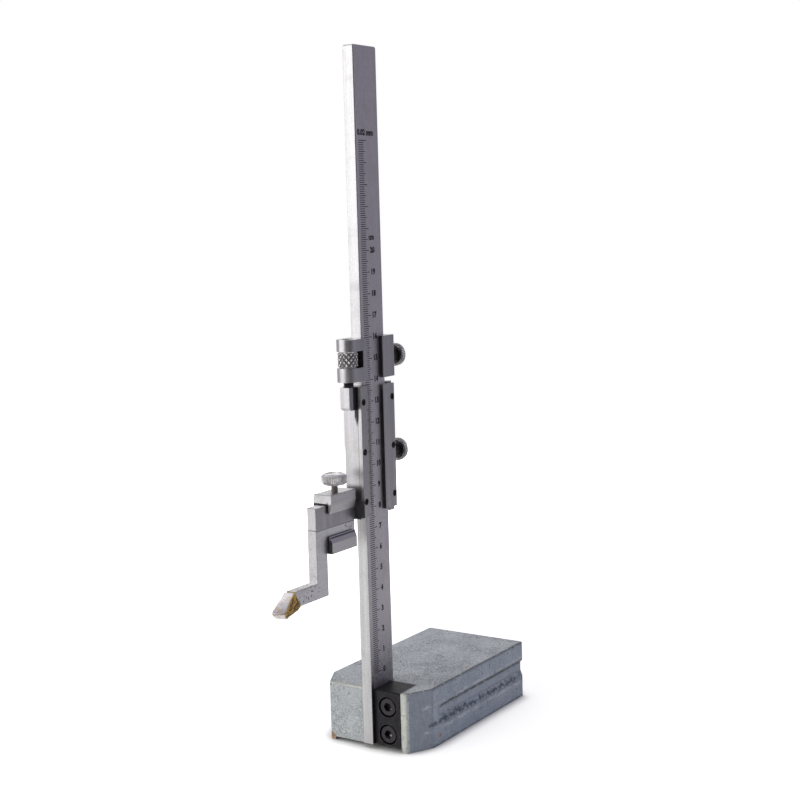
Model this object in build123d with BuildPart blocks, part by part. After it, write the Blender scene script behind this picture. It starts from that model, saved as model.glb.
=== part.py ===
"""Vernier height gauge, 0 to 200 mm, with a fine-adjustment carriage and a clamped Z-shaped scriber.

Millimetres, +Z up. The origin is the centre of the base's underside, on the datum plane that the
gauge measures from. The scriber reaches out along -X and the graduated face looks along -Y.
Heights on the column are given above the datum plane; plan sizes on the column are given from the
beam's own axis.
"""

import os
from math import pi

from build123d import *

os.makedirs("parts", exist_ok=True)

# ---------------------------------------------------------------- clearances and edges
slide_gap = 0.05  # flat sliding faces
bore_gap = 0.05  # shafts and screws in their holes, on the radius
seat_gap = 0.05  # faces that meet between pieces that move apart
edge_break = 0.3  # ground edges
plate_edge_break = 0.2

# ---------------------------------------------------------------- base
base_length = 102.5
base_width = 57.4
base_height = 29.0
nose_length = 12.9  # chamfered front corners, along X
nose_width = 6.7  # and along Y
base_corner_radius = 1.2
base_edge_radius = 0.7
relief_length = 30.0  # channel under the front of the base
relief_width = 38.6
relief_height = 1.6

groove_depth = 1.7
groove_mouth = (9.6, 19.5)  # heights at the surface
groove_floor = (13.4, 17.7)  # heights at full depth
groove_start = 22.4  # where its rounded front end begins, behind the base's front

# ---------------------------------------------------------------- beam
beam_width = 18.5
beam_thickness = 5.8
beam_foot = 2.1
beam_top = 329.2
beam_proud = 1.7  # the beam stands proud of the base's front
column_x = -base_length / 2 - beam_proud + beam_width / 2
column_y = -1.1
beam_corner_radius = 1.0

# ---------------------------------------------------------------- beam clamp
base_front = -base_length / 2 - column_x
pocket_depth = 14.85
pocket_back = base_front + pocket_depth
pocket_width_back = 14.5  # measured from the beam's face
wedge_taper = 0.4  # over the depth of the pocket
pocket_wall_back = -beam_thickness / 2 - pocket_width_back
pocket_wall_front = pocket_wall_back - wedge_taper
block_proud = 0.25
block_front = base_front - block_proud
block_back_gap = 0.3
block_side_gap = 0.05
block_top_gap = 0.1
block_edge_break = 0.5

clamp_screw_y = -10.5
clamp_screw_pitch = 13.4
clamp_screw_heights = tuple(base_height / 2 + side * clamp_screw_pitch / 2 for side in (-1, 1))
clamp_head_radius = 4.25
clamp_head_height = 5.0
clamp_head_recess = 0.2
clamp_head_gap = 0.75
clamp_shank_radius = 2.5
clamp_shank_length = 25.0
clamp_hex = 4.0
clamp_hex_depth = 2.6
clamp_hole_gap = 0.25
clamp_head_break = 0.35
tapped_run_out = 1.5

# ---------------------------------------------------------------- slider
slider_foot = 112.2
slider_height = 62.1
slider_top = slider_foot + slider_height
spring_room = 1.2
channel_back = beam_thickness / 2 + slide_gap
channel_left = -beam_width / 2 - slide_gap
channel_right = beam_width / 2 + spring_room
left_wall = 4.65
right_wall = 4.05
back_wall = 2.15
frame_left = channel_left - left_wall
frame_right = channel_right + right_wall
frame_back = channel_back + back_wall
frame_front = -beam_thickness / 2 - slide_gap

jaw_length = 31.05
jaw_height = 10.4
jaw_end = frame_left - jaw_length
jaw_front = 0.0
jaw_top = slider_foot + jaw_height

# ---------------------------------------------------------------- slider plates
vernier_thickness = 2.15
vernier_edge_thickness = 0.3
vernier_flat = 4.35  # flat part of its face, before the bevel
vernier_edge = -4.8
vernier_front = frame_front - vernier_thickness
vernier_flat_end = frame_left + vernier_flat
vernier_foot = slider_foot + 0.8
cover_thickness = 1.6
cover_front = frame_front - cover_thickness
cover_edge = 4.8
cover_foot = slider_foot + 1.9
cover_top = slider_top - 0.9

plate_screw_first = 8.2  # above the slider's foot
plate_screw_pitch = 23.3
plate_screw_heights = tuple(slider_foot + plate_screw_first + n * plate_screw_pitch for n in range(3))
plate_screw_inset = 1.92
vernier_screw_x = frame_left + plate_screw_inset
cover_screw_x = frame_right - plate_screw_inset
plate_head_radius = 1.5
plate_head_gap = 0.1
plate_shank_radius = 1.0
plate_shank_length = 4.0
plate_head_recess = 0.15
plate_slot_width = 0.5
plate_slot_depth = 0.4
vernier_slot_turn = 40  # degrees the slots happen to stand at
cover_slot_turn = -25
vernier_head_height = 1.1
cover_head_height = 0.8

# ---------------------------------------------------------------- leaf springs
spring_thickness = 0.5
spring_width = 4.8
spring_beam_gap = 0.1
slider_spring_reach = 26.0  # half length
slider_spring_flat = 6.0  # half length of the flat middle
carriage_spring_reach = 9.0
carriage_spring_flat = 3.0

# ---------------------------------------------------------------- fine adjustment
carriage_gap = 2.5  # between slider and carriage
carriage_height = 19.6
carriage_foot = slider_top + carriage_gap
carriage_top = carriage_foot + carriage_height
lug_radius = frame_back
rod_radius = 2.5
rod_x = frame_left - rod_radius + seat_gap
rod_socket = 8.8  # how far it goes into its seat
rod_foot = slider_top - rod_socket
rod_end_gap = 0.8  # under the top of the upper lug
rod_top = carriage_top - rod_end_gap
rod_bore_gap = 0.1
rod_end_break = 0.5
seat_wall = 0.9  # around the rod
seat_left = rod_x - rod_radius - seat_wall
seat_width = 5.0
seat_height = 10.6
seat_foot = slider_top - seat_height
seat_chamfer = 1.2
lip_width = 1.55  # how far the carriage's lips overlap the beam's face on the left
carriage_lip_left = channel_left + lip_width
carriage_lip_right = 5.0
lower_lug = 6.4
upper_lug = 5.5
window_foot = carriage_foot + lower_lug
window_top = carriage_top - upper_lug
nut_radius = 4.75
nut_side_gap = 0.35
nut_end_gap = 0.1
nut_edge_break = 0.8
window_back = rod_x + nut_radius + nut_side_gap

# ---------------------------------------------------------------- knurled clamp screws
slider_screw_height = slider_foot + 27.7
carriage_screw_height = carriage_foot + 9.1
knob_stand_off = 0.9  # between the frame and the neck
knob_neck_length = 5.5
knob_rim = 3.5
knob_shank_radius = 2.0
knob_neck_radius = 2.9
knob_neck_start = frame_right + knob_stand_off
knob_rim_start = knob_neck_start + knob_neck_length
knob_rim_end = knob_rim_start + knob_rim
knob_radius = 5.5
knob_dish_radius = 4.5
knob_dish_depth = 1.0
knob_edge_break = 0.5
knurl_pitch = 0.8
knurl_depth = 0.25

# ---------------------------------------------------------------- scriber clamp
clamp_wall_gap = 3.05  # between the clamp and the slider
clamp_length = 19.5
clamp_right = frame_left - clamp_wall_gap
clamp_left = clamp_right - clamp_length
clamp_front_gap = 0.6  # play in front of the jaw
clamp_back_gap = 0.4  # and behind it
clamp_front_wall = 1.8
clamp_back_wall = 1.9
clamp_slot_front = jaw_front - clamp_front_gap
clamp_slot_back = frame_back + clamp_back_gap
clamp_front = clamp_slot_front - clamp_front_wall
clamp_back = clamp_slot_back + clamp_back_wall
scriber_arm_height = 8.15
scriber_arm_top = slider_foot - seat_gap
scriber_arm_foot = scriber_arm_top - scriber_arm_height
clamp_roof_gap = 0.3
clamp_crown = 4.4
clamp_sole = 3.7
clamp_roof = jaw_top + clamp_roof_gap
clamp_top = clamp_roof + clamp_crown
clamp_floor = scriber_arm_foot - seat_gap
clamp_foot = clamp_floor - clamp_sole
lip_thickness = 0.6
upper_lip_shoulder = clamp_roof - 0.2
upper_lip_tip = clamp_roof - 4.3
lower_lip_tip = clamp_floor + 4.2
lower_lip_shoulder = clamp_floor + 1.2

thumb_x = (clamp_left + clamp_right) / 2
thumb_y = (clamp_slot_front + clamp_slot_back) / 2
thumb_neck = 3.3  # between the clamp and the head
thumb_head_height = 5.0
thumb_shank_radius = 1.5
thumb_head_radius = 6.0
thumb_head_foot = clamp_top + thumb_neck
thumb_head_top = thumb_head_foot + thumb_head_height
thumb_edge_break = 1.1

# ---------------------------------------------------------------- scriber
scriber_thickness = 4.9
scriber_arm_gap = 1.05  # between its arm and the slider
scriber_arm_end = frame_left - scriber_arm_gap
scriber_leg_gap = 0.4  # between its leg and the clamp
scriber_leg_width = 8.3
scriber_leg_back = clamp_left - scriber_leg_gap
scriber_leg_front = scriber_leg_back - scriber_leg_width
scriber_drop = 31.2  # from the jaw's underside to the toe's underside
scriber_foot = slider_foot - scriber_drop
scriber_toe_height = 7.3
scriber_toe_upper = 16.8  # length of the toe along its top, from the leg's front
scriber_toe_lower = 12.9  # and along its underside

# Profiles of the insert and its braze: out from the leg's front, and up from the toe's underside.
# The insert narrows from its top edge to a ground land, and is skewed so that its far side leads.
tip_near = 0.5
tip_far = 5.0
tip_near_profile = ((17.2, 7.2), (24.5, -0.9), (24.1, -2.3), (23.2, -3.4), (21.8, -3.4), (16.7, 5.4))
tip_far_profile = ((18.2, 7.0), (27.5, 0.2), (27.3, -1.5), (24.8, -3.4), (23.4, -3.4), (17.7, 5.2))
braze_profile = ((18.8, 5.4), (24.0, -0.9), (23.1, -3.0), (20.8, -2.6), (15.2, -1.3))
braze_set_back = 0.15  # under the toe's flanks
braze_top_set_back = 0.2  # and under its top


def level(height):
    """A level sketch plane on the column: its x and y are plan sizes from the beam's axis."""
    return Plane((column_x, column_y, height))


def upright(y):
    """A sketch plane parallel to the graduated face: x is out from the beam's axis, y is the height."""
    return Plane((column_x, column_y + y, 0), x_dir=(1, 0, 0), z_dir=(0, -1, 0))


def crosswise(x):
    """A sketch plane square to the jaw: its x runs from front to back, its y is the height."""
    return Plane((column_x + x, column_y, 0), x_dir=(0, 1, 0), z_dir=(1, 0, 0))


def corners(left, right, low, high):
    """The four corners of an upright rectangle, in order."""
    return (left, low), (right, low), (right, high), (left, high)


def beyond_leg(profile):
    """Points of an upright profile, from lengths beyond the leg's front and heights over the toe's foot."""
    return [(scriber_leg_front - out, scriber_foot + up) for out, up in profile]


def knurl_count(radius):
    """How many grooves of the common pitch fit round a rim."""
    return round(2 * pi * radius / knurl_pitch)


# ================================================================ base
with BuildPart() as base:
    with BuildSketch(Plane.XY):
        Polygon(
            (base_length / 2, -base_width / 2),
            (base_length / 2, base_width / 2),
            (-base_length / 2 + nose_length, base_width / 2),
            (-base_length / 2, base_width / 2 - nose_width),
            (-base_length / 2, -base_width / 2 + nose_width),
            (-base_length / 2 + nose_length, -base_width / 2),
            align=None,
        )
    extrude(amount=base_height)
    fillet(base.edges().filter_by(Axis.Z), radius=base_corner_radius)
    fillet(base.edges().group_by(Axis.Z)[-1], radius=base_edge_radius)
    # grip groove along each long side, open at the back
    for flank in (-1, 1):
        for depth, (low, high) in ((0, groove_mouth), (groove_depth, groove_floor)):
            reach = (high - low) / 2
            centre = (high + low) / 2
            start = groove_start - base_length / 2
            with BuildSketch(
                Plane((0, flank * (base_width / 2 - depth), 0), x_dir=(1, 0, 0), z_dir=(0, -1, 0))
            ):
                with BuildLine():
                    Line((base_length / 2, low), (start, low))
                    ThreePointArc((start, low), (start - reach, centre), (start, high))
                    Line((start, high), (base_length / 2, high))
                    Line((base_length / 2, high), (base_length / 2, low))
                make_face()
        loft(ruled=True, mode=Mode.SUBTRACT)
    # relief under the front, between two rails
    with BuildSketch(Plane.XY):
        Polygon(
            *corners(-base_length / 2, relief_length - base_length / 2, -relief_width / 2, relief_width / 2),
            align=None,
        )
    extrude(amount=relief_height, mode=Mode.SUBTRACT)
    # pocket for the clamp block, with a deeper slot for the beam's back edge
    with BuildSketch(level(0)):
        Polygon(
            (base_front, beam_thickness / 2),
            (pocket_back, beam_thickness / 2),
            (pocket_back, pocket_wall_back),
            (base_front, pocket_wall_front),
            align=None,
        )
        Polygon(
            *corners(base_front, beam_width / 2, -beam_thickness / 2, beam_thickness / 2), align=None
        )
    extrude(amount=base_height, mode=Mode.SUBTRACT)
    # tapped holes for the clamp screws
    with BuildSketch(crosswise(pocket_back)):
        with Locations(*[(clamp_screw_y, height) for height in clamp_screw_heights]):
            Circle(clamp_shank_radius + bore_gap)
    extrude(
        amount=block_front
        + clamp_head_recess
        + clamp_head_height
        + clamp_shank_length
        + tapped_run_out
        - pocket_back,
        mode=Mode.SUBTRACT,
    )
base.part.label = "base"
export_step(base.part, "parts/base.step")

# ================================================================ beam
with BuildPart() as beam:
    with BuildSketch(level(beam_foot)):
        Rectangle(beam_width, beam_thickness)
    extrude(amount=beam_top - beam_foot)
    fillet(beam.edges().filter_by(Axis.Y).group_by(Axis.Z)[-1], radius=beam_corner_radius)
    chamfer(beam.faces().filter_by(Axis.Y).edges(), length=edge_break)
beam.part.label = "beam"
export_step(beam.part, "parts/beam.step")

# ================================================================ beam clamp block
block_back = pocket_back - block_back_gap
clamp_seat = block_front + clamp_head_recess + clamp_head_height
with BuildPart() as beam_clamp_block:
    with BuildSketch(level(beam_foot)):
        Polygon(
            (block_front, -beam_thickness / 2),
            (block_back, -beam_thickness / 2),
            (block_back, pocket_wall_back + block_side_gap),
            (block_front, pocket_wall_front + block_side_gap),
            align=None,
        )
    extrude(amount=base_height - block_top_gap - beam_foot)
    chamfer(beam_clamp_block.faces().sort_by(Axis.X)[0].edges(), length=block_edge_break)
    with BuildSketch(crosswise(block_front)):
        with Locations(*[(clamp_screw_y, height) for height in clamp_screw_heights]):
            Circle(clamp_shank_radius + clamp_hole_gap)
    extrude(amount=block_back - block_front, mode=Mode.SUBTRACT)
    with BuildSketch(crosswise(block_front)):
        with Locations(*[(clamp_screw_y, height) for height in clamp_screw_heights]):
            Circle(clamp_head_radius + clamp_head_gap)
    extrude(amount=clamp_seat - block_front, mode=Mode.SUBTRACT)
beam_clamp_block.part.label = "beam_clamp_block"
export_step(beam_clamp_block.part, "parts/beam_clamp_block.step")

# ================================================================ beam clamp screws
with BuildPart() as beam_clamp_screws:
    with BuildSketch(crosswise(clamp_seat)):
        with Locations(*[(clamp_screw_y, height) for height in clamp_screw_heights]):
            Circle(clamp_head_radius)
    extrude(amount=-clamp_head_height)
    chamfer(
        beam_clamp_screws.edges().filter_by(GeomType.CIRCLE).group_by(Axis.X)[0], length=clamp_head_break
    )
    with BuildSketch(crosswise(clamp_seat)):
        with Locations(*[(clamp_screw_y, height) for height in clamp_screw_heights]):
            Circle(clamp_shank_radius)
    extrude(amount=clamp_shank_length)
    with BuildSketch(crosswise(clamp_seat - clamp_head_height)):
        with Locations(*[(clamp_screw_y, height) for height in clamp_screw_heights]):
            RegularPolygon(clamp_hex / 2, 6, major_radius=False)
    extrude(amount=clamp_hex_depth, mode=Mode.SUBTRACT)
beam_clamp_screws.part.label = "beam_clamp_screws"
export_step(beam_clamp_screws.part, "parts/beam_clamp_screws.step")

# ================================================================ slider frame
with BuildPart() as slider_frame:
    with BuildSketch(level(slider_foot)) as frame_plan:
        Polygon(
            (frame_left, frame_front),
            (channel_left, frame_front),
            (channel_left, channel_back),
            (channel_right, channel_back),
            (channel_right, frame_front),
            (frame_right, frame_front),
            (frame_right, frame_back),
            (frame_left, frame_back),
            align=None,
        )
        chamfer(
            frame_plan.vertices().group_by(Axis.X)[0] + frame_plan.vertices().group_by(Axis.X)[-1],
            length=plate_edge_break,
        )
    extrude(amount=slider_top - slider_foot)
    # jaw arm
    with BuildSketch(upright(jaw_front)):
        Polygon(*corners(jaw_end, channel_left, slider_foot, jaw_top), align=None)
    extrude(amount=-(frame_back - jaw_front))
    chamfer(
        slider_frame.faces().sort_by(Axis.X)[0].edges(),
        length=edge_break,
    )
    # seat of the adjusting rod
    with BuildSketch(upright(-seat_width / 2)):
        Polygon(
            (seat_left, slider_top),
            (channel_left, slider_top),
            (channel_left, seat_foot),
            (seat_left + seat_chamfer, seat_foot),
            (seat_left, seat_foot + seat_chamfer),
            align=None,
        )
    extrude(amount=-seat_width)
    with BuildSketch(level(slider_top)):
        with Locations((rod_x, 0)):
            Circle(rod_radius - rod_end_break)
    extrude(amount=rod_foot - slider_top, mode=Mode.SUBTRACT)
    # tapped holes of the plate screws and of the clamp screw
    with BuildSketch(upright(frame_front)):
        with Locations(*[(x, h) for x in (vernier_screw_x, cover_screw_x) for h in plate_screw_heights]):
            Circle(plate_shank_radius + bore_gap)
    extrude(amount=-(plate_shank_length + plate_head_recess), mode=Mode.SUBTRACT)
    with BuildSketch(crosswise(channel_right)):
        with Locations((0, slider_screw_height)):
            Circle(knob_shank_radius + bore_gap)
    extrude(amount=frame_right - channel_right, mode=Mode.SUBTRACT)
slider_frame.part.label = "slider_frame"
export_step(slider_frame.part, "parts/slider_frame.step")

# ================================================================ vernier plate
with BuildPart() as vernier_plate:
    with BuildSketch(level(vernier_foot)):
        Polygon(
            (frame_left, frame_front),
            (frame_left, vernier_front),
            (vernier_flat_end, vernier_front),
            (vernier_edge, frame_front - vernier_edge_thickness),
            (vernier_edge, frame_front),
            align=None,
        )
    extrude(amount=slider_top - vernier_foot)
    chamfer(
        vernier_plate.edges().filter_by(Axis.Z).group_by(Axis.X)[0].sort_by(Axis.Y)[0],
        length=plate_edge_break,
    )
    with BuildSketch(upright(frame_front)):
        with Locations(*[(vernier_screw_x, height) for height in plate_screw_heights]):
            Circle(plate_shank_radius + bore_gap)
    extrude(amount=frame_front - vernier_front, mode=Mode.SUBTRACT)
    with BuildSketch(upright(vernier_front)):
        with Locations(*[(vernier_screw_x, height) for height in plate_screw_heights]):
            Circle(plate_head_radius + plate_head_gap)
    extrude(amount=-(vernier_head_height + plate_head_recess), mode=Mode.SUBTRACT)
vernier_plate.part.label = "vernier_plate"
export_step(vernier_plate.part, "parts/vernier_plate.step")

# ================================================================ slider cover strip
with BuildPart() as slider_cover_strip:
    with BuildSketch(level(cover_foot)) as cover_plan:
        Polygon(*corners(cover_edge, frame_right, cover_front, frame_front), align=None)
        chamfer(cover_plan.vertices().group_by(Axis.Y)[0], length=plate_edge_break)
    extrude(amount=cover_top - cover_foot)
    with BuildSketch(upright(frame_front)):
        with Locations(*[(cover_screw_x, height) for height in plate_screw_heights]):
            Circle(plate_shank_radius + bore_gap)
    extrude(amount=frame_front - cover_front, mode=Mode.SUBTRACT)
    with BuildSketch(upright(cover_front)):
        with Locations(*[(cover_screw_x, height) for height in plate_screw_heights]):
            Circle(plate_head_radius + plate_head_gap)
    extrude(amount=-(cover_head_height + plate_head_recess), mode=Mode.SUBTRACT)
slider_cover_strip.part.label = "slider_cover_strip"
export_step(slider_cover_strip.part, "parts/slider_cover_strip.step")

# ================================================================ plate screws
vernier_head_face = vernier_front + plate_head_recess
with BuildPart() as vernier_plate_screws:
    with BuildSketch(upright(vernier_head_face)):
        with Locations(*[(vernier_screw_x, height) for height in plate_screw_heights]):
            Circle(plate_head_radius)
    extrude(amount=-vernier_head_height)
    with BuildSketch(upright(vernier_head_face)):
        with Locations(*[(vernier_screw_x, height) for height in plate_screw_heights]):
            Circle(plate_shank_radius)
    extrude(amount=-(frame_front - vernier_head_face + plate_shank_length))
    with BuildSketch(upright(vernier_head_face)):
        with Locations(*[(vernier_screw_x, height) for height in plate_screw_heights]):
            Rectangle(2 * plate_head_radius, plate_slot_width, rotation=vernier_slot_turn)
    extrude(amount=-plate_slot_depth, mode=Mode.SUBTRACT)
vernier_plate_screws.part.label = "vernier_plate_screws"
export_step(vernier_plate_screws.part, "parts/vernier_plate_screws.step")

cover_head_face = cover_front + plate_head_recess
with BuildPart() as cover_strip_screws:
    with BuildSketch(upright(cover_head_face)):
        with Locations(*[(cover_screw_x, height) for height in plate_screw_heights]):
            Circle(plate_head_radius)
    extrude(amount=-cover_head_height)
    with BuildSketch(upright(cover_head_face)):
        with Locations(*[(cover_screw_x, height) for height in plate_screw_heights]):
            Circle(plate_shank_radius)
    extrude(amount=-(frame_front - cover_head_face + plate_shank_length))
    with BuildSketch(upright(cover_head_face)):
        with Locations(*[(cover_screw_x, height) for height in plate_screw_heights]):
            Rectangle(2 * plate_head_radius, plate_slot_width, rotation=cover_slot_turn)
    extrude(amount=-plate_slot_depth, mode=Mode.SUBTRACT)
cover_strip_screws.part.label = "cover_strip_screws"
export_step(cover_strip_screws.part, "parts/cover_strip_screws.step")


# ================================================================ leaf springs
def spring_profile(middle, reach, flat):
    """Side profile of a leaf spring: its ends lean on the frame's wall, its flat middle faces the beam."""
    inner = beam_width / 2 + spring_beam_gap
    return (
        (channel_right, middle - reach),
        (inner + spring_thickness, middle - flat),
        (inner + spring_thickness, middle + flat),
        (channel_right, middle + reach),
        (channel_right - spring_thickness, middle + reach),
        (inner, middle + flat),
        (inner, middle - flat),
        (channel_right - spring_thickness, middle - reach),
    )


with BuildPart() as slider_leaf_spring:
    with BuildSketch(upright(-spring_width / 2)):
        Polygon(*spring_profile(slider_screw_height, slider_spring_reach, slider_spring_flat), align=None)
    extrude(amount=-spring_width)
slider_leaf_spring.part.label = "slider_leaf_spring"
export_step(slider_leaf_spring.part, "parts/slider_leaf_spring.step")

with BuildPart() as carriage_leaf_spring:
    with BuildSketch(upright(-spring_width / 2)):
        Polygon(
            *spring_profile(carriage_screw_height, carriage_spring_reach, carriage_spring_flat), align=None
        )
    extrude(amount=-spring_width)
carriage_leaf_spring.part.label = "carriage_leaf_spring"
export_step(carriage_leaf_spring.part, "parts/carriage_leaf_spring.step")

# ================================================================ knurled clamp screws
shank_tip = beam_width / 2 + spring_beam_gap + spring_thickness + seat_gap
knob_profile = (
    (shank_tip, 0),
    (shank_tip, knob_shank_radius - edge_break),
    (shank_tip + edge_break, knob_shank_radius),
    (knob_neck_start, knob_shank_radius),
    (knob_neck_start, knob_neck_radius),
    (knob_rim_start + knob_dish_depth, knob_neck_radius),
    (knob_rim_start + knob_dish_depth, knob_dish_radius - edge_break),
    (knob_rim_start, knob_dish_radius),
    (knob_rim_start, knob_radius - knob_edge_break),
    (knob_rim_start + knob_edge_break, knob_radius),
    (knob_rim_end - knob_edge_break, knob_radius),
    (knob_rim_end, knob_radius - knob_edge_break),
    (knob_rim_end, 0),
)
with BuildPart() as slider_clamp_screw:
    with BuildSketch(level(slider_screw_height)):
        Polygon(*knob_profile, align=None)
    revolve(axis=Axis((column_x, column_y, slider_screw_height), (1, 0, 0)))
    with BuildSketch(crosswise(knob_rim_start)):
        with Locations((0, slider_screw_height)):
            with PolarLocations(knob_radius, knurl_count(knob_radius)):
                RegularPolygon(knurl_depth, 4)
    extrude(amount=knob_rim_end - knob_rim_start, mode=Mode.SUBTRACT)
slider_clamp_screw.part.label = "slider_clamp_screw"
export_step(slider_clamp_screw.part, "parts/slider_clamp_screw.step")

with BuildPart() as carriage_clamp_screw:
    with BuildSketch(level(carriage_screw_height)):
        Polygon(*knob_profile, align=None)
    revolve(axis=Axis((column_x, column_y, carriage_screw_height), (1, 0, 0)))
    with BuildSketch(crosswise(knob_rim_start)):
        with Locations((0, carriage_screw_height)):
            with PolarLocations(knob_radius, knurl_count(knob_radius)):
                RegularPolygon(knurl_depth, 4)
    extrude(amount=knob_rim_end - knob_rim_start, mode=Mode.SUBTRACT)
carriage_clamp_screw.part.label = "carriage_clamp_screw"
export_step(carriage_clamp_screw.part, "parts/carriage_clamp_screw.step")

# ================================================================ adjusting rod
with BuildPart() as adjusting_rod:
    with BuildSketch(level(slider_top)):
        with Locations((rod_x, 0)):
            Circle(rod_radius)
    extrude(amount=rod_top - slider_top)
    chamfer(adjusting_rod.edges().group_by(Axis.Z)[-1], length=rod_end_break)
    with BuildSketch(level(rod_foot)):
        with Locations((rod_x, 0)):
            Circle(rod_radius - rod_end_break - bore_gap)
    extrude(amount=slider_top - rod_foot)
adjusting_rod.part.label = "adjusting_rod"
export_step(adjusting_rod.part, "parts/adjusting_rod.step")

# ================================================================ carriage frame
with BuildPart() as carriage_frame:
    with BuildSketch(level(carriage_foot)) as carriage_plan:
        Polygon(*corners(rod_x, frame_right, -lug_radius, lug_radius), align=None)
        with Locations((rod_x, 0)):
            Circle(lug_radius)
        Polygon(
            *corners(channel_left, channel_right, frame_front, channel_back),
            align=None,
            mode=Mode.SUBTRACT,
        )
        Polygon(
            *corners(carriage_lip_left, carriage_lip_right, -lug_radius, frame_front),
            align=None,
            mode=Mode.SUBTRACT,
        )
        chamfer(carriage_plan.vertices().group_by(Axis.X)[-1], length=plate_edge_break)
        with Locations((rod_x, 0)):
            Circle(rod_radius + rod_bore_gap, mode=Mode.SUBTRACT)
    extrude(amount=carriage_top - carriage_foot)
    # window for the adjusting nut
    with BuildSketch(upright(-lug_radius)):
        Polygon(*corners(rod_x - lug_radius, window_back, window_foot, window_top), align=None)
    extrude(amount=-2 * lug_radius, mode=Mode.SUBTRACT)
    with BuildSketch(crosswise(channel_right)):
        with Locations((0, carriage_screw_height)):
            Circle(knob_shank_radius + bore_gap)
    extrude(amount=frame_right - channel_right, mode=Mode.SUBTRACT)
carriage_frame.part.label = "carriage_frame"
export_step(carriage_frame.part, "parts/carriage_frame.step")

# ================================================================ adjusting nut
nut_foot = window_foot + nut_end_gap
nut_top = window_top - nut_end_gap
with BuildPart() as adjusting_nut:
    with BuildSketch(level(nut_foot)):
        with Locations((rod_x, 0)):
            Circle(nut_radius)
    extrude(amount=nut_top - nut_foot)
    chamfer(adjusting_nut.edges().filter_by(GeomType.CIRCLE), length=nut_edge_break)
    with BuildSketch(level(nut_foot)):
        with Locations((rod_x, 0)):
            with PolarLocations(nut_radius, knurl_count(nut_radius)):
                RegularPolygon(knurl_depth, 4)
            Circle(rod_radius + bore_gap)
    extrude(amount=nut_top - nut_foot, mode=Mode.SUBTRACT)
adjusting_nut.part.label = "adjusting_nut"
export_step(adjusting_nut.part, "parts/adjusting_nut.step")

# ================================================================ scriber clamp
with BuildPart() as scriber_clamp:
    with BuildSketch(crosswise(clamp_left)):
        Polygon(
            (clamp_back, clamp_top),
            (clamp_front, clamp_top),
            (clamp_front, upper_lip_shoulder),
            (clamp_slot_front - lip_thickness, upper_lip_tip),
            (clamp_slot_front, upper_lip_tip),
            (clamp_slot_front, clamp_roof),
            (clamp_slot_back, clamp_roof),
            (clamp_slot_back, clamp_floor),
            (clamp_slot_front, clamp_floor),
            (clamp_slot_front, lower_lip_tip),
            (clamp_slot_front - lip_thickness, lower_lip_tip),
            (clamp_front, lower_lip_shoulder),
            (clamp_front, clamp_foot),
            (clamp_back, clamp_foot),
            align=None,
        )
    extrude(amount=clamp_right - clamp_left)
    chamfer(scriber_clamp.faces().sort_by(Axis.Z)[-1].edges(), length=edge_break)
    with BuildSketch(level(clamp_roof)):
        with Locations((thumb_x, thumb_y)):
            Circle(thumb_shank_radius + bore_gap)
    extrude(amount=clamp_top - clamp_roof, mode=Mode.SUBTRACT)
scriber_clamp.part.label = "scriber_clamp"
export_step(scriber_clamp.part, "parts/scriber_clamp.step")

# ================================================================ scriber clamp screw
with BuildPart() as scriber_clamp_screw:
    with BuildSketch(level(thumb_head_foot)):
        with Locations((thumb_x, thumb_y)):
            Circle(thumb_head_radius)
    extrude(amount=thumb_head_top - thumb_head_foot)
    chamfer(scriber_clamp_screw.edges().filter_by(GeomType.CIRCLE), length=thumb_edge_break)
    with BuildSketch(level(thumb_head_foot)):
        with Locations((thumb_x, thumb_y)):
            with PolarLocations(thumb_head_radius, knurl_count(thumb_head_radius)):
                RegularPolygon(knurl_depth, 4)
    extrude(amount=thumb_head_top - thumb_head_foot, mode=Mode.SUBTRACT)
    with BuildSketch(level(jaw_top + seat_gap)):
        with Locations((thumb_x, thumb_y)):
            Circle(thumb_shank_radius)
    extrude(amount=thumb_head_foot - jaw_top - seat_gap)
    chamfer(scriber_clamp_screw.edges().group_by(Axis.Z)[0], length=edge_break)
scriber_clamp_screw.part.label = "scriber_clamp_screw"
export_step(scriber_clamp_screw.part, "parts/scriber_clamp_screw.step")

# ================================================================ scriber
with BuildPart() as scriber:
    with BuildSketch(upright(jaw_front)):
        Polygon(
            (scriber_arm_end, scriber_arm_top),
            (scriber_arm_end, scriber_arm_foot),
            (scriber_leg_back, scriber_arm_foot),
            (scriber_leg_back, scriber_foot),
            (scriber_leg_front - scriber_toe_lower, scriber_foot),
            (scriber_leg_front - scriber_toe_upper, scriber_foot + scriber_toe_height),
            (scriber_leg_front, scriber_foot + scriber_toe_height),
            (scriber_leg_front, scriber_arm_top),
            align=None,
        )
    extrude(amount=-scriber_thickness)
    chamfer(scriber.faces().sort_by(Axis.Y)[0].edges(), length=edge_break)
scriber.part.label = "scriber"
export_step(scriber.part, "parts/scriber.step")

# ================================================================ carbide tip
with BuildPart() as carbide_tip:
    with BuildSketch(upright(tip_near)):
        Polygon(*beyond_leg(tip_near_profile), align=None)
    with BuildSketch(upright(tip_far)):
        Polygon(*beyond_leg(tip_far_profile), align=None)
    loft(ruled=True)
carbide_tip.part.label = "carbide_tip"
export_step(carbide_tip.part, "parts/carbide_tip.step")

# ================================================================ braze seam
with BuildPart() as braze_seam:
    toe_end = (
        (scriber_toe_lower, 0),
        (scriber_toe_upper, scriber_toe_height - braze_top_set_back),
    )
    with BuildSketch(upright(braze_set_back)):
        Polygon(*beyond_leg(toe_end + braze_profile), align=None)
    extrude(amount=-(scriber_thickness - 2 * braze_set_back))
    add(carbide_tip.part, mode=Mode.SUBTRACT)
    add(scriber.part, mode=Mode.SUBTRACT)
braze_seam.part.label = "braze_seam"
export_step(braze_seam.part, "parts/braze_seam.step")
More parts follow.
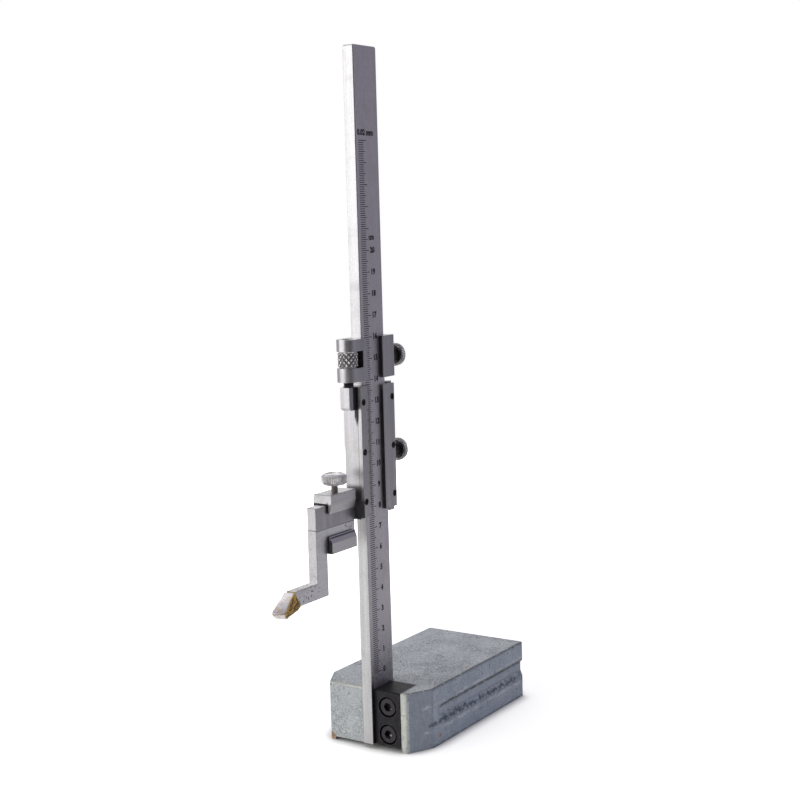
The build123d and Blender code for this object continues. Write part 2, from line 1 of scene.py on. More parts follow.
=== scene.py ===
"""Looks of a vernier height gauge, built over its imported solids.

Metres, in the solids' own frame: +Z up, the datum plane at z = 0, the scriber towards -X and the
graduated faces towards -Y.
"""

from __future__ import annotations

import logging
import math
from abc import ABC, abstractmethod
from collections.abc import Iterable, Mapping, Sequence
from dataclasses import dataclass, replace
from enum import Enum

import bmesh
import bpy
from mathutils import Matrix, Vector

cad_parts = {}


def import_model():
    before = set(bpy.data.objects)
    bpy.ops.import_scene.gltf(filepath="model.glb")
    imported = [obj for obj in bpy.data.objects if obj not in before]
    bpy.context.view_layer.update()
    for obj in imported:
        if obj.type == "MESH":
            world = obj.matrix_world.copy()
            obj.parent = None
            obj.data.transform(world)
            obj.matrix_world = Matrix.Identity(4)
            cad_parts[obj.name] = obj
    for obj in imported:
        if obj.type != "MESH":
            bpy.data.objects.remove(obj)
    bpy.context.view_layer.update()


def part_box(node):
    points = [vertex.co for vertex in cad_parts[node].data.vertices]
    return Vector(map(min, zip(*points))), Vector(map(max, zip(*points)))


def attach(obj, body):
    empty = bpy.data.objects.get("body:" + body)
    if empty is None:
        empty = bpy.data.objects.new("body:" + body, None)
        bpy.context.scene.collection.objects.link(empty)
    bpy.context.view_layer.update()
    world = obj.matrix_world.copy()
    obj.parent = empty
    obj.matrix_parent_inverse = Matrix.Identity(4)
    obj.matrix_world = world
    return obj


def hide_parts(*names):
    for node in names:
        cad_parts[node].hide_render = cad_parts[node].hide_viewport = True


Colour = tuple[float, float, float]
Point = tuple[float, float, float]
Outline = tuple[tuple[float, float], ...]  # radii and distances along a turned piece's axis
Spot = tuple[Point, float]  # a middle and a radius
Step = tuple[float, float]  # where a smooth step leaves 0, and where it reaches 1
Value = "Signal | float | Sequence[float]"

LOG = logging.getLogger("height_gauge")
MM = 0.001
CM = 0.01
NEAR = 1e-6  # metres within which two places are one
WHITE: Colour = (1.0, 1.0, 1.0)
LEFTWARDS: Point = (-1.0, 0.0, 0.0)  # towards the scriber
RIGHTWARDS: Point = (1.0, 0.0, 0.0)
FORWARDS: Point = (0.0, -1.0, 0.0)  # the way the scales face
UPWARDS: Point = (0.0, 0.0, 1.0)
SLIDER_KNOB_FOOT: Point = (-33.8 * MM, -1.1 * MM, 139.9 * MM)
CARRIAGE_KNOB_FOOT: Point = (-33.8 * MM, -1.1 * MM, 185.9 * MM)
THUMB_FOOT: Point = (-70.455 * MM, 1.35 * MM, 122.65 * MM)
ROD_FOOT: Point = (-60.1 * MM, -1.1 * MM, 165.5 * MM)
NUT_FOOT: Point = (-60.1 * MM, -1.1 * MM, 183.3 * MM)


# ---------------------------------------------------------------- shader graphs
class Signal:
    """One socket of a shader graph, with Python's operators as its maths."""

    def __init__(self, graph: Graph, socket: bpy.types.NodeSocket | None) -> None:
        """Keeps the graph that the socket belongs to."""
        self.graph = graph
        self.socket = socket

    def maths(self, operation: str, *values: Value) -> Signal:
        """Adds one Math node.

        Args:
            operation: the node's operation.
            values: its inputs, in order.

        Returns:
            The node's result.
        """
        return self.graph.node("ShaderNodeMath", {"operation": operation}, dict(enumerate(values)))

    def __add__(self, other: Value) -> Signal:
        """self + other."""
        return self.maths("ADD", self, other)

    def __sub__(self, other: Value) -> Signal:
        """self - other."""
        return self.maths("SUBTRACT", self, other)

    def __rsub__(self, other: Value) -> Signal:
        """other - self."""
        return self.maths("SUBTRACT", other, self)

    def __mul__(self, other: Value) -> Signal:
        """self * other."""
        return self.maths("MULTIPLY", self, other)

    __radd__ = __add__
    __rmul__ = __mul__

    def __abs__(self) -> Signal:
        """Its size without its sign."""
        return self.maths("ABSOLUTE", self)

    def most(self, other: Value) -> Signal:
        """The larger of the two."""
        return self.maths("MAXIMUM", self, other)

    def root(self) -> Signal:
        """Its square root."""
        return self.maths("SQRT", self)

    def rise(self, low: float, high: float) -> Signal:
        """A smooth step.

        Args:
            low: where it leaves 0.
            high: where it reaches 1. Below low, the step falls.

        Returns:
            0 to 1.
        """
        ends = {1: low, 2: high} if low < high else {1: high, 2: low}
        settings = {"interpolation_type": "SMOOTHSTEP"}
        step = self.graph.node("ShaderNodeMapRange", settings, {0: self, **ends})
        return step if low < high else 1 - step

    def output(self, name: int | str) -> Signal:
        """Another output of the same node, by name or place."""
        return Signal(self.graph, self.socket.node.outputs[name])


class Graph:
    """The node graph of a material or of the world."""

    bevel_samples: int = 4
    sharp_edge: Step = (0.0, 0.12)  # how far a rounded edge's normal leaves the flat face's
    spot_core: float = 0.4  # share of a spot's radius that is solid
    soft_side: float = 0.1  # share of a box's width over which its side fades

    def __init__(self, tree: bpy.types.NodeTree) -> None:
        """Empties the tree."""
        self.tree = tree
        tree.nodes.clear()

    def node(
        self,
        kind: str,
        settings: Mapping[str, object] | None = None,
        inputs: Mapping[int | str, Value] | None = None,
        output: int | str = 0,
    ) -> Signal:
        """Adds any node.

        Args:
            kind: the node's type.
            settings: its own settings, set first.
            inputs: the values or links of its sockets, by name or place.
            output: the output to hand back.

        Returns:
            That output.
        """
        made = self.tree.nodes.new(kind)
        for name, value in (settings or {}).items():
            setattr(made, name, value)
        for key, value in (inputs or {}).items():
            socket = made.inputs[key]
            if isinstance(value, Signal):
                self.tree.links.new(value.socket, socket)
            else:
                socket.default_value = value
        return Signal(self, made.outputs[output] if made.outputs else None)

    def point(self) -> Signal:
        """The point on the piece, in metres."""
        return self.node("ShaderNodeTexCoord", output="Object")

    def axes(self) -> tuple[Signal, Signal, Signal]:
        """The point's three coordinates, in metres."""
        split = self.node("ShaderNodeSeparateXYZ", inputs={0: self.point()})
        return split.output(0), split.output(1), split.output(2)

    def place(self, stretch: Point, turn: Point) -> Signal:
        """The point, stretched and turned for a pattern."""
        inputs = {"Vector": self.point(), "Rotation": turn, "Scale": stretch}
        return self.node("ShaderNodeMapping", inputs=inputs)

    def vector(self, operation: str, *values: Value, output: int = 0) -> Signal:
        """Adds one Vector Math node.

        Args:
            operation: the node's operation.
            values: its vectors, in order.
            output: 0 for a vector, 1 for a number.

        Returns:
            The node's result.
        """
        return self.node("ShaderNodeVectorMath", {"operation": operation}, dict(enumerate(values)), output)

    def blend(self, share: Value, first: Value, second: Value) -> Signal:
        """A colour between two.

        Args:
            share: 0 for the first, 1 for the second.
            first: a colour.
            second: a colour.

        Returns:
            The colour.
        """
        inputs = {0: share, 6: opaque(first), 7: opaque(second)}
        return self.node("ShaderNodeMix", {"data_type": "RGBA"}, inputs, output=2)

    def layers(self, ground: Value, *coats: tuple[Value, Value]) -> Signal:
        """Colours laid over one another.

        Args:
            ground: the lowest colour.
            coats: the share and the colour of each coat on it, from the lowest up.

        Returns:
            The colour on top.
        """
        for share, colour in coats:
            ground = self.blend(share, ground, colour)
        return ground

    def scaled(self, colour: Value, share: Value) -> Signal:
        """A colour made lighter or darker by a factor."""
        inputs = {0: colour, "Scale": share}
        return self.node("ShaderNodeVectorMath", {"operation": "SCALE"}, inputs)

    def facing(self, way: Point) -> Signal:
        """How squarely the face looks a given way: 1 straight at it, 0 across it, -1 away."""
        flat = self.node("ShaderNodeNewGeometry", output="Normal")
        return self.vector("DOT_PRODUCT", flat, way, output=1)

    def spots(self, spots: Iterable[Spot]) -> Value:
        """1 in the middle of each spot, 0 beyond their radii."""
        gaps = ((self.vector("DISTANCE", self.point(), centre, output=1), radius) for centre, radius in spots)
        return largest(gap.rise(radius, radius * self.spot_core) for gap, radius in gaps)

    def inside(self, low: Point, high: Point) -> Signal:
        """1 inside a box with soft sides, 0 outside.

        Args:
            low: the box's lowest corner.
            high: its highest corner.

        Returns:
            The mask.
        """
        share = 1.0
        for axis, start, end in zip(self.axes(), low, high):
            soft = (end - start) * self.soft_side
            share = share * (axis.rise(start - soft, start + soft) * axis.rise(end + soft, end - soft))
        return share

    def edges(self, width: float) -> Signal:
        """1 at the piece's sharp edges, 0 a width away from them.

        Args:
            width: how far from an edge the mask reaches.

        Returns:
            The mask.
        """
        rounded = self.node("ShaderNodeBevel", {"samples": self.bevel_samples}, {"Radius": width})
        flat = self.node("ShaderNodeNewGeometry", output="Normal")
        return (1 - self.vector("DOT_PRODUCT", rounded, flat, output=1)).rise(*self.sharp_edge)

    def bump(self, height: Signal, depth: float, onto: Signal | None = None) -> Signal:
        """Relief.

        Args:
            height: 0 to 1.
            depth: the height of 1, in metres.
            onto: relief that this one lies on.

        Returns:
            The normal.
        """
        inputs = {"Height": height, "Distance": depth, "Strength": 1.0}
        if onto is not None:
            inputs["Normal"] = onto
        return self.node("ShaderNodeBump", inputs=inputs)


def opaque(colour: Value) -> Value:
    """A colour with its alpha, which sockets ask for. A signal stays as it is."""
    return colour if isinstance(colour, Signal) else (*colour[:3], 1.0)


def largest(masks: Iterable[Signal]) -> Value:
    """The largest of several masks, or 0 where there are none.

    Args:
        masks: the masks.

    Returns:
        One mask.
    """
    top = 0.0
    for mask in masks:
        top = mask.most(top)
    return top


# ---------------------------------------------------------------- patterns
@dataclass(frozen=True)
class Noise:
    """Soft noise over a piece."""

    size: float  # the width of its blotches, in metres
    detail: float = 2.0  # how many finer layers it has
    swirl: float = 0.0  # how far it is distorted
    stretch: Point = (1.0, 1.0, 1.0)
    turn: Point = (0.0, 0.0, 0.0)
    step: Step | None = None

    def over(self, graph: Graph) -> Signal:
        """0 to 1, mostly near 0.5 unless it has a step.

        Args:
            graph: the material's graph.

        Returns:
            The pattern.
        """
        inputs = {
            "Vector": graph.place(self.stretch, self.turn),
            "Scale": 1 / self.size,
            "Detail": self.detail,
            "Distortion": self.swirl,
        }
        level = graph.node("ShaderNodeTexNoise", inputs=inputs)
        return level if self.step is None else level.rise(*self.step)


@dataclass(frozen=True)
class Specks:
    """Scattered specks."""

    spacing: float  # in metres
    step: Step  # where a speck ends and where it is solid, as shares of the spacing
    turn: Point = (0.0, 0.0, 0.0)

    def over(self, graph: Graph) -> Signal:
        """1 in a speck, 0 between them."""
        inputs = {"Vector": graph.place((1.0, 1.0, 1.0), self.turn), "Scale": 1 / self.spacing}
        return graph.node("ShaderNodeTexVoronoi", inputs=inputs).rise(*self.step)


@dataclass(frozen=True)
class Region:
    """A box on a piece, and the way that the faces in it look."""

    low: Point
    high: Point
    way: Point | None = None
    share: float = 1.0

    def mask(self, graph: Graph) -> Signal:
        """The region's share on those faces, 0 elsewhere."""
        cover = graph.inside(self.low, self.high) * self.share
        return cover if self.way is None else cover * graph.facing(self.way).rise(0.3, 0.6)


class Lay(Enum):
    """Which way a ground surface's fine lines run, as the stretch of its pattern."""

    UPRIGHT = (1.0, 1.0, 0.03)
    ALONG_JAW = (0.04, 1.0, 1.0)


# ---------------------------------------------------------------- finishes
@dataclass(frozen=True)
class Finish(ABC):
    """A surface: its name, and what it feeds the shader."""

    name: str

    @abstractmethod
    def surface(self, graph: Graph) -> dict[str, Value]:
        """The Principled shader's inputs.

        Args:
            graph: the material's graph.

        Returns:
            The Principled shader's inputs.
        """

    def material(self) -> bpy.types.Material:
        """Builds the material once and hands it back each time."""
        made = bpy.data.materials.get(self.name)
        if made is None:
            made = bpy.data.materials.new(self.name)
            made.use_nodes = True
            graph = Graph(made.node_tree)
            shader = graph.node("ShaderNodeBsdfPrincipled", inputs=self.surface(graph))
            graph.node("ShaderNodeOutputMaterial", inputs={"Surface": shader})
        return made


@dataclass(frozen=True)
class GroundSteel(Finish):
    """Steel with satin scale faces and brighter ground sides, smudged, scratched and lightly pitted."""

    satin: Colour = (0.40, 0.395, 0.42)
    ground: Colour = (0.62, 0.61, 0.61)
    stain: Colour = (0.36, 0.33, 0.31)
    streak: Colour = (0.44, 0.435, 0.41)
    pit: Colour = (0.06, 0.045, 0.04)
    # the black of the painted shade on faces in shade
    oil: Colour = (0.014, 0.013, 0.020)
    # the colour of the painted shade near the foot
    soil: Colour = (0.16, 0.155, 0.18)
    roughness: float = 0.34
    grain_depth: float = 0.001 * MM
    pit_depth: float = 0.012 * MM
    lay: Lay = Lay.UPRIGHT
    line_width: float = 0.45 * MM
    streak_width: float = 2.6 * MM
    stain_share: float = 0.25
    pit_size: float = 0.10  # share of the spacing that a pit fills
    pit_spacing: float = 3.4 * MM
    soiled_below: float = 0.0  # height under which the satin faces darken with painted shade
    pitted: tuple[Spot, ...] = ()
    oiled: tuple[Region, ...] = ()  # faces in shade in corners and beside other parts, painted black as painted shade
    grain: Noise = Noise(0.9 * MM, 3)
    smudges: Noise = Noise(14 * MM, 4, 0.6, step=(0.50, 0.75))
    scratches: Noise = Noise(0.5 * MM, 1, stretch=(1.0, 1.0, 0.12), turn=(0.5, 0.4, 0.6), step=(0.70, 0.76))
    corrosion: Specks = Specks(1.6 * MM, (0.34, 0.20), (0.3, 0.2, 0.1))

    def surface(self, graph: Graph) -> dict[str, Value]:
        """Steel, streaks, stains, pits, and painted shade near the foot and on faces in shade.

        Args:
            graph: the material's graph.

        Returns:
            The Principled shader's inputs.
        """
        lines = Noise(self.line_width, 3, stretch=self.lay.value).over(graph)
        streaks = Noise(self.streak_width, 3, stretch=self.lay.value, step=(0.42, 0.66)).over(graph)
        grain = self.grain.over(graph)
        smudges = self.smudges.over(graph)
        pits = self.pits(graph)
        scale_face = abs(graph.facing(FORWARDS)).rise(0.35, 0.75)
        # painted shade: satin faces darker near the foot, mottled by the grain
        low_shading = self.low_down(graph) * (0.15 + 0.6 * grain.rise(0.36, 0.66)) * scale_face
        painted_shade = largest(region.mask(graph) for region in self.oiled)
        metal = graph.layers(self.ground, (scale_face, self.satin), (streaks * 0.35, self.streak))
        colour = graph.layers(
            graph.scaled(metal, 0.66 + 0.30 * lines + 0.38 * grain),
            (smudges * self.stain_share, self.stain),
            (low_shading, self.soil),
            (pits * 0.8, self.pit),
            # painted shade: faces in shade painted black
            (painted_shade * 0.97, self.oil),
        )
        rough = self.roughness - 0.08 + 0.12 * lines + 0.06 * scale_face + 0.10 * smudges
        relief = graph.bump(lines + 0.4 * grain, self.grain_depth)
        return {
            "Base Color": colour,
            "Metallic": 1 - 0.6 * pits.most(painted_shade),
            "Roughness": rough - 0.06 * self.scratches.over(graph) + 0.25 * pits,
            "Normal": graph.bump(1 - pits, self.pit_depth, relief),
        }

    def pits(self, graph: Graph) -> Signal:
        """Small pits all over, and more of them in the pitted places.

        Args:
            graph: the material's graph.

        Returns:
            The mask.
        """
        pits = Specks(self.pit_spacing, (self.pit_size, self.pit_size / 2)).over(graph)
        if self.pitted:
            pits = pits.most(self.corrosion.over(graph) * graph.spots(self.pitted))
        return pits

    def low_down(self, graph: Graph) -> Value:
        """1 near the piece's foot, 0 above the height of the painted shade."""
        _, _, up = graph.axes()
        return up.rise(self.soiled_below, self.soiled_below * 0.4) if self.soiled_below else 0.0


@dataclass(frozen=True)
class HammertonePaint(Finish):
    """Hammered paint on cast iron: rippled, speckled, and worn to the metal along the edges."""

    colour: Colour = (0.515, 0.555, 0.555)
    # also the painted light on faces looking left and along the groove's lips
    pale: Colour = (0.82, 0.86, 0.84)
    # the painted shade colour of the long sides
    blued: Colour = (0.50, 0.585, 0.745)
    dark: Colour = (0.15, 0.18, 0.205)
    stroke: Colour = (0.60, 0.66, 0.75)
    bare: Colour = (0.80, 0.82, 0.72)
    speck: Colour = (0.045, 0.045, 0.045)
    grime: Colour = (0.055, 0.085, 0.125)
    rust: Colour = (0.46, 0.23, 0.07)
    nose: Point = (-0.461, -0.887, 0.0)  # the way the brushed corner face looks
    ledge: tuple[float, float] = (9.6 * MM, 13.2 * MM)  # heights of the groove's lower ledge
    ledge_front: float = -42 * MM  # where the grime on it starts
    ledge_wander: float = 5 * MM
    lips: tuple[float, ...] = (8.0 * MM, 20.6 * MM)  # heights of the painted highlight strokes beside the groove
    lip_wander: float = 4 * MM
    flank: float = 26.5 * MM  # past this from the middle, a face is a long side
    rim_width: float = 2.0 * MM
    nick_width: float = 1.2 * MM
    ripple_depth: float = 0.36 * MM
    fine_depth: float = 0.06 * MM
    coat_depth: float = 0.04 * MM
    rust_spots: tuple[Spot, ...] = ()
    worn_strips: tuple[Region, ...] = ()
    ripples: Noise = Noise(1.9 * MM, 3, 2.6)
    clouds: Noise = Noise(24 * MM, 3)
    fines: Noise = Noise(0.75 * MM)
    patches: Noise = Noise(15 * MM, step=(0.40, 0.58))
    veins: Noise = Noise(2.4 * MM, swirl=2.0)
    strokes: Noise = Noise(0.9 * MM, 3, stretch=(1.0, 1.0, 0.16), step=(0.40, 0.62))
    rungs: Noise = Noise(0.8 * MM, stretch=(0.35, 0.35, 1.0), step=(0.45, 0.62))
    specks: Specks = Specks(5.0 * MM, (0.11, 0.06))
    chips: Noise = Noise(1.6 * MM, 4, 0.4)
    nicks: Noise = Noise(2.6 * MM, 3, step=(0.36, 0.42))
    lip_edge: Noise = Noise(1.6 * MM, 4, stretch=(0.5, 1.0, 1.0))
    lip_breaks: Noise = Noise(6 * MM, 3, step=(0.42, 0.56))
    ledge_edge: Noise = Noise(2.4 * MM, 5, stretch=(1.0, 1.0, 0.7))
    ledge_breaks: Noise = Noise(3.2 * MM, 4, 0.6, step=(0.34, 0.52))

    def surface(self, graph: Graph) -> dict[str, Value]:
        """Ripples of paint, painted shade and light by the way faces look, then strokes, painted highlights,
        grime, specks, rust and bare edges.

        Args:
            graph: the material's graph.

        Returns:
            The Principled shader's inputs.
        """
        ripple = self.ripples.over(graph)
        fine = self.fines.over(graph)
        patch = self.patches.over(graph)
        vein = 1 - abs(self.veins.over(graph) - 0.5).rise(0.0, 0.06)
        tone = (ripple - 0.5) * (1.1 + 1.3 * patch) + (self.clouds.over(graph) - 0.5) * 0.8 + (fine - 0.5)
        specks = self.specks.over(graph)
        chips = self.chips.over(graph)
        brushed = graph.facing(self.nose).rise(0.90, 0.97)
        worn, nicked = self.worn_edges(graph, chips)
        paint = graph.layers(
            self.colour,
            (tone.rise(0.02, 0.55), self.pale),
            ((0 - tone).rise(0.02, 0.55), self.dark),
            (vein * (0.45 + 0.45 * patch), self.dark),
            # painted shade and light: long sides tinted to the cool colour of their shade, faces looking left
            # made paler where the lamp lights them
            (abs(graph.facing(FORWARDS)).rise(0.3, 0.7) * 0.48, self.blued),
            (graph.facing(LEFTWARDS).rise(0.5, 0.9) * 0.30, self.pale),
            (brushed * 0.40, self.dark),
            (brushed * (0.16 * self.strokes.over(graph) + 0.16 * self.rungs.over(graph)), self.stroke),
            # painted highlights along the groove's lips
            (self.rubbed_lips(graph) * 0.6, self.pale),
            (self.grimy_ledge(graph) * 0.88, self.grime),
            (specks * 0.9, self.speck),
            (worn * 0.9, self.bare),
            (nicked * 0.9, self.speck),
            (graph.spots(self.rust_spots) * chips.rise(0.32, 0.44) * 0.8, self.rust),
        )
        relief = graph.bump(ripple + vein * (0.4 + 0.6 * patch) * -0.3, self.ripple_depth)
        relief = graph.bump(fine, self.fine_depth, relief)
        return {
            "Base Color": paint,
            "Roughness": 0.46 + 0.16 * (ripple - 0.5) + 0.15 * worn + 0.12 * specks,
            "Metallic": worn * 0.4,
            "Normal": graph.bump(1 - worn, self.coat_depth, relief),
            "Specular IOR Level": 0.35,
        }

    def worn_edges(self, graph: Graph, chips: Signal) -> tuple[Signal, Signal]:
        """Edges that hands have rubbed.

        Args:
            graph: the material's graph.
            chips: the pattern that they are worn in.

        Returns:
            Where the paint is worn to bare metal, and where it is nicked dark.
        """
        tilt = abs(graph.facing(UPWARDS))
        rim = (tilt.rise(0.55, 0.65) * tilt.rise(0.92, 0.82)).most(graph.edges(self.rim_width))
        pale_edge = graph.facing(LEFTWARDS).rise(0.2, 0.6)
        strips = largest(region.mask(graph) for region in self.worn_strips)
        worn = (rim * chips.rise(0.38, 0.50) * pale_edge).most(strips * chips.rise(0.36, 0.48) * 0.9)
        nicked = rim.root().most(graph.edges(self.nick_width)) * self.nicks.over(graph)
        return worn, nicked * (1 - 0.70 * pale_edge)

    def rubbed_lips(self, graph: Graph) -> Signal:
        """Painted highlights: pale ragged strokes along the grip groove, above and below it.

        Args:
            graph: the material's graph.

        Returns:
            The mask.
        """
        _, along, up = graph.axes()
        shifted = up + (self.lip_edge.over(graph) - 0.5) * self.lip_wander
        lines = largest(abs(shifted - height).rise(0.9 * MM, 0.3 * MM) for height in self.lips)
        return lines * self.lip_breaks.over(graph) * self.on_flank(along)

    def grimy_ledge(self, graph: Graph) -> Signal:
        """Ragged grime on the grip groove's lower ledge.

        Args:
            graph: the material's graph.

        Returns:
            The mask.
        """
        across, along, up = graph.axes()
        low, high = self.ledge
        shifted = up + (self.ledge_edge.over(graph) - 0.5) * self.ledge_wander
        band = shifted.rise(low, low + 1.4 * MM) * shifted.rise(high, high - 1.6 * MM)
        past_front = across.rise(self.ledge_front, self.ledge_front + 3 * MM)
        return band * past_front * self.ledge_breaks.over(graph) * self.on_flank(along)

    def on_flank(self, along: Signal) -> Signal:
        """1 on the base's two long sides, 0 between them."""
        return abs(along).rise(self.flank - 1 * MM, self.flank)


@dataclass(frozen=True)
class BlackOxide(Finish):
    """Blackened steel, slightly browned, with edges rubbed grey."""

    colour: Colour = (0.026, 0.024, 0.026)
    rubbed: Colour = (0.20, 0.195, 0.19)
    # the black of the painted shade
    well: Colour = (0.004, 0.004, 0.005)
    glint: Colour = (0.8, 0.8, 0.8)
    roughness: float = 0.5
    rub_share: float = 0.7
    rub_width: float = 0.35 * MM
    relief: float = 0.006 * MM
    shine: float = 0.2
    # painted glints: small pale spots standing in for highlights
    bright_spots: tuple[Spot, ...] = ()
    wells: tuple[Region, ...] = ()  # places painted a deeper black as painted shade
    mottles: Noise = Noise(2.4 * MM, 4)
    fines: Noise = Noise(0.4 * MM)
    rubs: Noise = Noise(1.2 * MM, 3, step=(0.40, 0.62))

    def surface(self, graph: Graph) -> dict[str, Value]:
        """Black with a fine mottle, rubbed edges, painted shade and painted glints.

        Args:
            graph: the material's graph.

        Returns:
            The Principled shader's inputs.
        """
        mottle = self.mottles.over(graph)
        rubbed = graph.edges(self.rub_width) * self.rubs.over(graph)
        colour = graph.layers(
            graph.scaled(self.colour, 0.2 + 1.6 * mottle),
            (rubbed * self.rub_share, self.rubbed),
            # painted shade: deeper black in the shaded places
            *((region.mask(graph) * 0.9, self.well) for region in self.wells),
            # painted glints
            (graph.spots(self.bright_spots), self.glint),
        )
        return {
            "Base Color": colour,
            "Metallic": 0.1 + 0.6 * rubbed,
            "Roughness": self.roughness + 0.2 * (mottle - 0.5) - 0.1 * rubbed,
            "Normal": graph.bump(self.fines.over(graph) + mottle, self.relief),
            "Specular IOR Level": self.shine,
        }


@dataclass(frozen=True)
class Plating(Finish):
    """Bright plating, slightly yellowed, with grime in blotches and along its edges, painted shade in its
    hollow, and grime with painted shade in its cuts.
    """

    colour: Colour = (0.62, 0.605, 0.60)
    # the colour of grime and of painted shade
    grime: Colour = (0.030, 0.026, 0.026)
    roughness: float = 0.2
    grime_share: float = 0.35
    rim_share: float = 0.5  # grime along the edges
    rim_width: float = 0.45 * MM
    relief: float = 0.0015 * MM
    axis: Point = (0.0, 0.0, 0.0)
    lying: bool = False  # the piece's axis runs along X in place of Z
    hollow: float = 0.0  # radius inside which it is painted black: painted shade and painted dark reflection
    hollow_share: float = 0.98
    rolled: float = 0.0  # radius of its knurled rim, whose cuts hold grime and painted shade
    cut_depth: float = 0.22 * MM
    cut_share: float = 0.8
    clouds: Noise = Noise(2.4 * MM, 4, 0.5)
    fines: Noise = Noise(0.35 * MM)

    def surface(self, graph: Graph) -> dict[str, Value]:
        """Plating, grime and painted shade.

        Args:
            graph: the material's graph.

        Returns:
            The Principled shader's inputs.
        """
        cloud = self.clouds.over(graph)
        fine = self.fines.over(graph)
        rim = graph.edges(self.rim_width) * cloud.rise(0.38, 0.58) * self.rim_share
        grime = (cloud.rise(0.48, 0.72) * self.grime_share).most(rim)
        if self.hollow:
            # painted shade and painted dark reflection near the axis
            grime = grime.most(self.in_hollow(graph) * self.hollow_share)
        if self.rolled:
            # grime and painted shade in the knurl cuts
            grime = grime.most(self.in_cuts(graph) * self.cut_share)
        return {
            "Base Color": graph.blend(grime, self.colour, self.grime),
            "Metallic": 1 - 0.5 * grime,
            "Roughness": self.roughness + 0.25 * grime + 0.12 * (fine - 0.5),
            "Normal": graph.bump(fine, self.relief),
        }

    def in_hollow(self, graph: Graph) -> Signal:
        """1 near the axis, except on the face that looks outwards along it.

        Args:
            graph: the material's graph.

        Returns:
            The mask.
        """
        outwards = RIGHTWARDS if self.lying else UPWARDS
        near = self.radius(graph).rise(self.hollow, self.hollow * 0.95)
        return near * graph.facing(outwards).rise(0.8, 0.4)

    def in_cuts(self, graph: Graph) -> Signal:
        """1 in the cuts of the knurled rim, 0 on its crests and nearer to the axis.

        Args:
            graph: the material's graph.

        Returns:
            The mask.
        """
        radius = self.radius(graph)
        in_cut = radius.rise(self.rolled - 0.02 * MM, self.rolled - self.cut_depth)
        return in_cut * radius.rise(self.rolled - 0.50 * MM, self.rolled - 0.44 * MM)

    def radius(self, graph: Graph) -> Signal:
        """The distance from the piece's axis.

        Args:
            graph: the material's graph.

        Returns:
            The distance, in metres.
        """
        places = graph.axes()
        pair = (1, 2) if self.lying else (0, 1)
        first, second = (places[index] - self.axis[index] for index in pair)
        return (first * first + second * second).root()


@dataclass(frozen=True)
class SpringSteel(Finish):
    """Blued strip."""

    colour: Colour = (0.16, 0.17, 0.24)
    relief: float = 0.001 * MM
    rolling: Noise = Noise(0.3 * MM, stretch=Lay.UPRIGHT.value)

    def surface(self, graph: Graph) -> dict[str, Value]:
        """Blue strip with rolled lines."""
        lines = self.rolling.over(graph)
        return {
            "Base Color": graph.scaled(self.colour, 0.8 + 0.4 * lines),
            "Metallic": 1.0,
            "Roughness": 0.28 + 0.1 * lines,
            "Normal": graph.bump(lines, self.relief),
        }


@dataclass(frozen=True)
class GroundCarbide(Finish):
    """Ground carbide, tinted rose and straw by the torch, with a scorched line above its cutting face."""

    colour: Colour = (0.90, 0.885, 0.87)
    straw: Colour = (0.80, 0.66, 0.36)
    rose: Colour = (0.66, 0.47, 0.44)
    scorch: Colour = (0.25, 0.13, 0.10)
    line_height: float = 80.0 * MM
    line_wander: float = 0.8 * MM
    edge_width: float = 0.5 * MM
    relief: float = 0.008 * MM
    clouds: Noise = Noise(2.2 * MM, 4, 1.2)
    blushes: Noise = Noise(1.7 * MM, 4, 1.2, turn=(0.7, 0.2, 0.4))
    grinding: Noise = Noise(0.25 * MM, stretch=(1.0, 0.08, 1.0))

    def surface(self, graph: Graph) -> dict[str, Value]:
        """Pale grey with tints and fine grinding lines.

        Args:
            graph: the material's graph.

        Returns:
            The Principled shader's inputs.
        """
        cloud = self.clouds.over(graph)
        blush = self.blushes.over(graph)
        lines = self.grinding.over(graph)
        edge = graph.edges(self.edge_width) * blush.rise(0.36, 0.56)
        _, _, up = graph.axes()
        wavy = up + (cloud - 0.5) * self.line_wander
        line = abs(wavy - self.line_height).rise(0.35 * MM, 0.12 * MM)
        colour = graph.layers(
            graph.scaled(self.colour, 0.80 + 0.35 * lines),
            (cloud.rise(0.50, 0.66) * 0.7, self.straw),
            (blush.rise(0.52, 0.68) * 0.7, self.rose),
            ((edge * 0.8).most(line * 0.75), self.scorch),
        )
        return {
            "Base Color": colour,
            "Metallic": 0.8 - 0.3 * edge,
            "Roughness": 0.34 + 0.15 * lines,
            "Normal": graph.bump(lines + 0.8 * cloud, self.relief),
        }


@dataclass(frozen=True)
class Braze(Finish):
    """Raw braze: brass that ran, browned and greened by the torch, bright where it met the insert."""

    colour: Colour = (0.50, 0.27, 0.07)
    bright: Colour = (0.90, 0.66, 0.26)
    burnt: Colour = (0.075, 0.055, 0.02)
    green: Colour = (0.12, 0.13, 0.05)
    rim_width: float = 0.8 * MM
    relief: float = 0.16 * MM
    clouds: Noise = Noise(2.0 * MM, 5, 1.4)
    runs: Noise = Noise(1.6 * MM, 4, 1.0, turn=(0.3, 0.8, 0.1))

    def surface(self, graph: Graph) -> dict[str, Value]:
        """Brass, scorch and verdigris.

        Args:
            graph: the material's graph.

        Returns:
            The Principled shader's inputs.
        """
        cloud = self.clouds.over(graph)
        run = self.runs.over(graph)
        burnt = cloud.rise(0.46, 0.58)
        colour = graph.layers(
            self.colour,
            (run.rise(0.46, 0.60) * 0.85, self.green),
            (burnt * 0.85, self.burnt),
            (graph.edges(self.rim_width) * run.rise(0.34, 0.48) * 0.9, self.bright),
        )
        return {
            "Base Color": colour,
            "Metallic": 0.85 - 0.4 * burnt,
            "Roughness": 0.32 + 0.3 * burnt,
            "Normal": graph.bump(cloud + run, self.relief),
        }


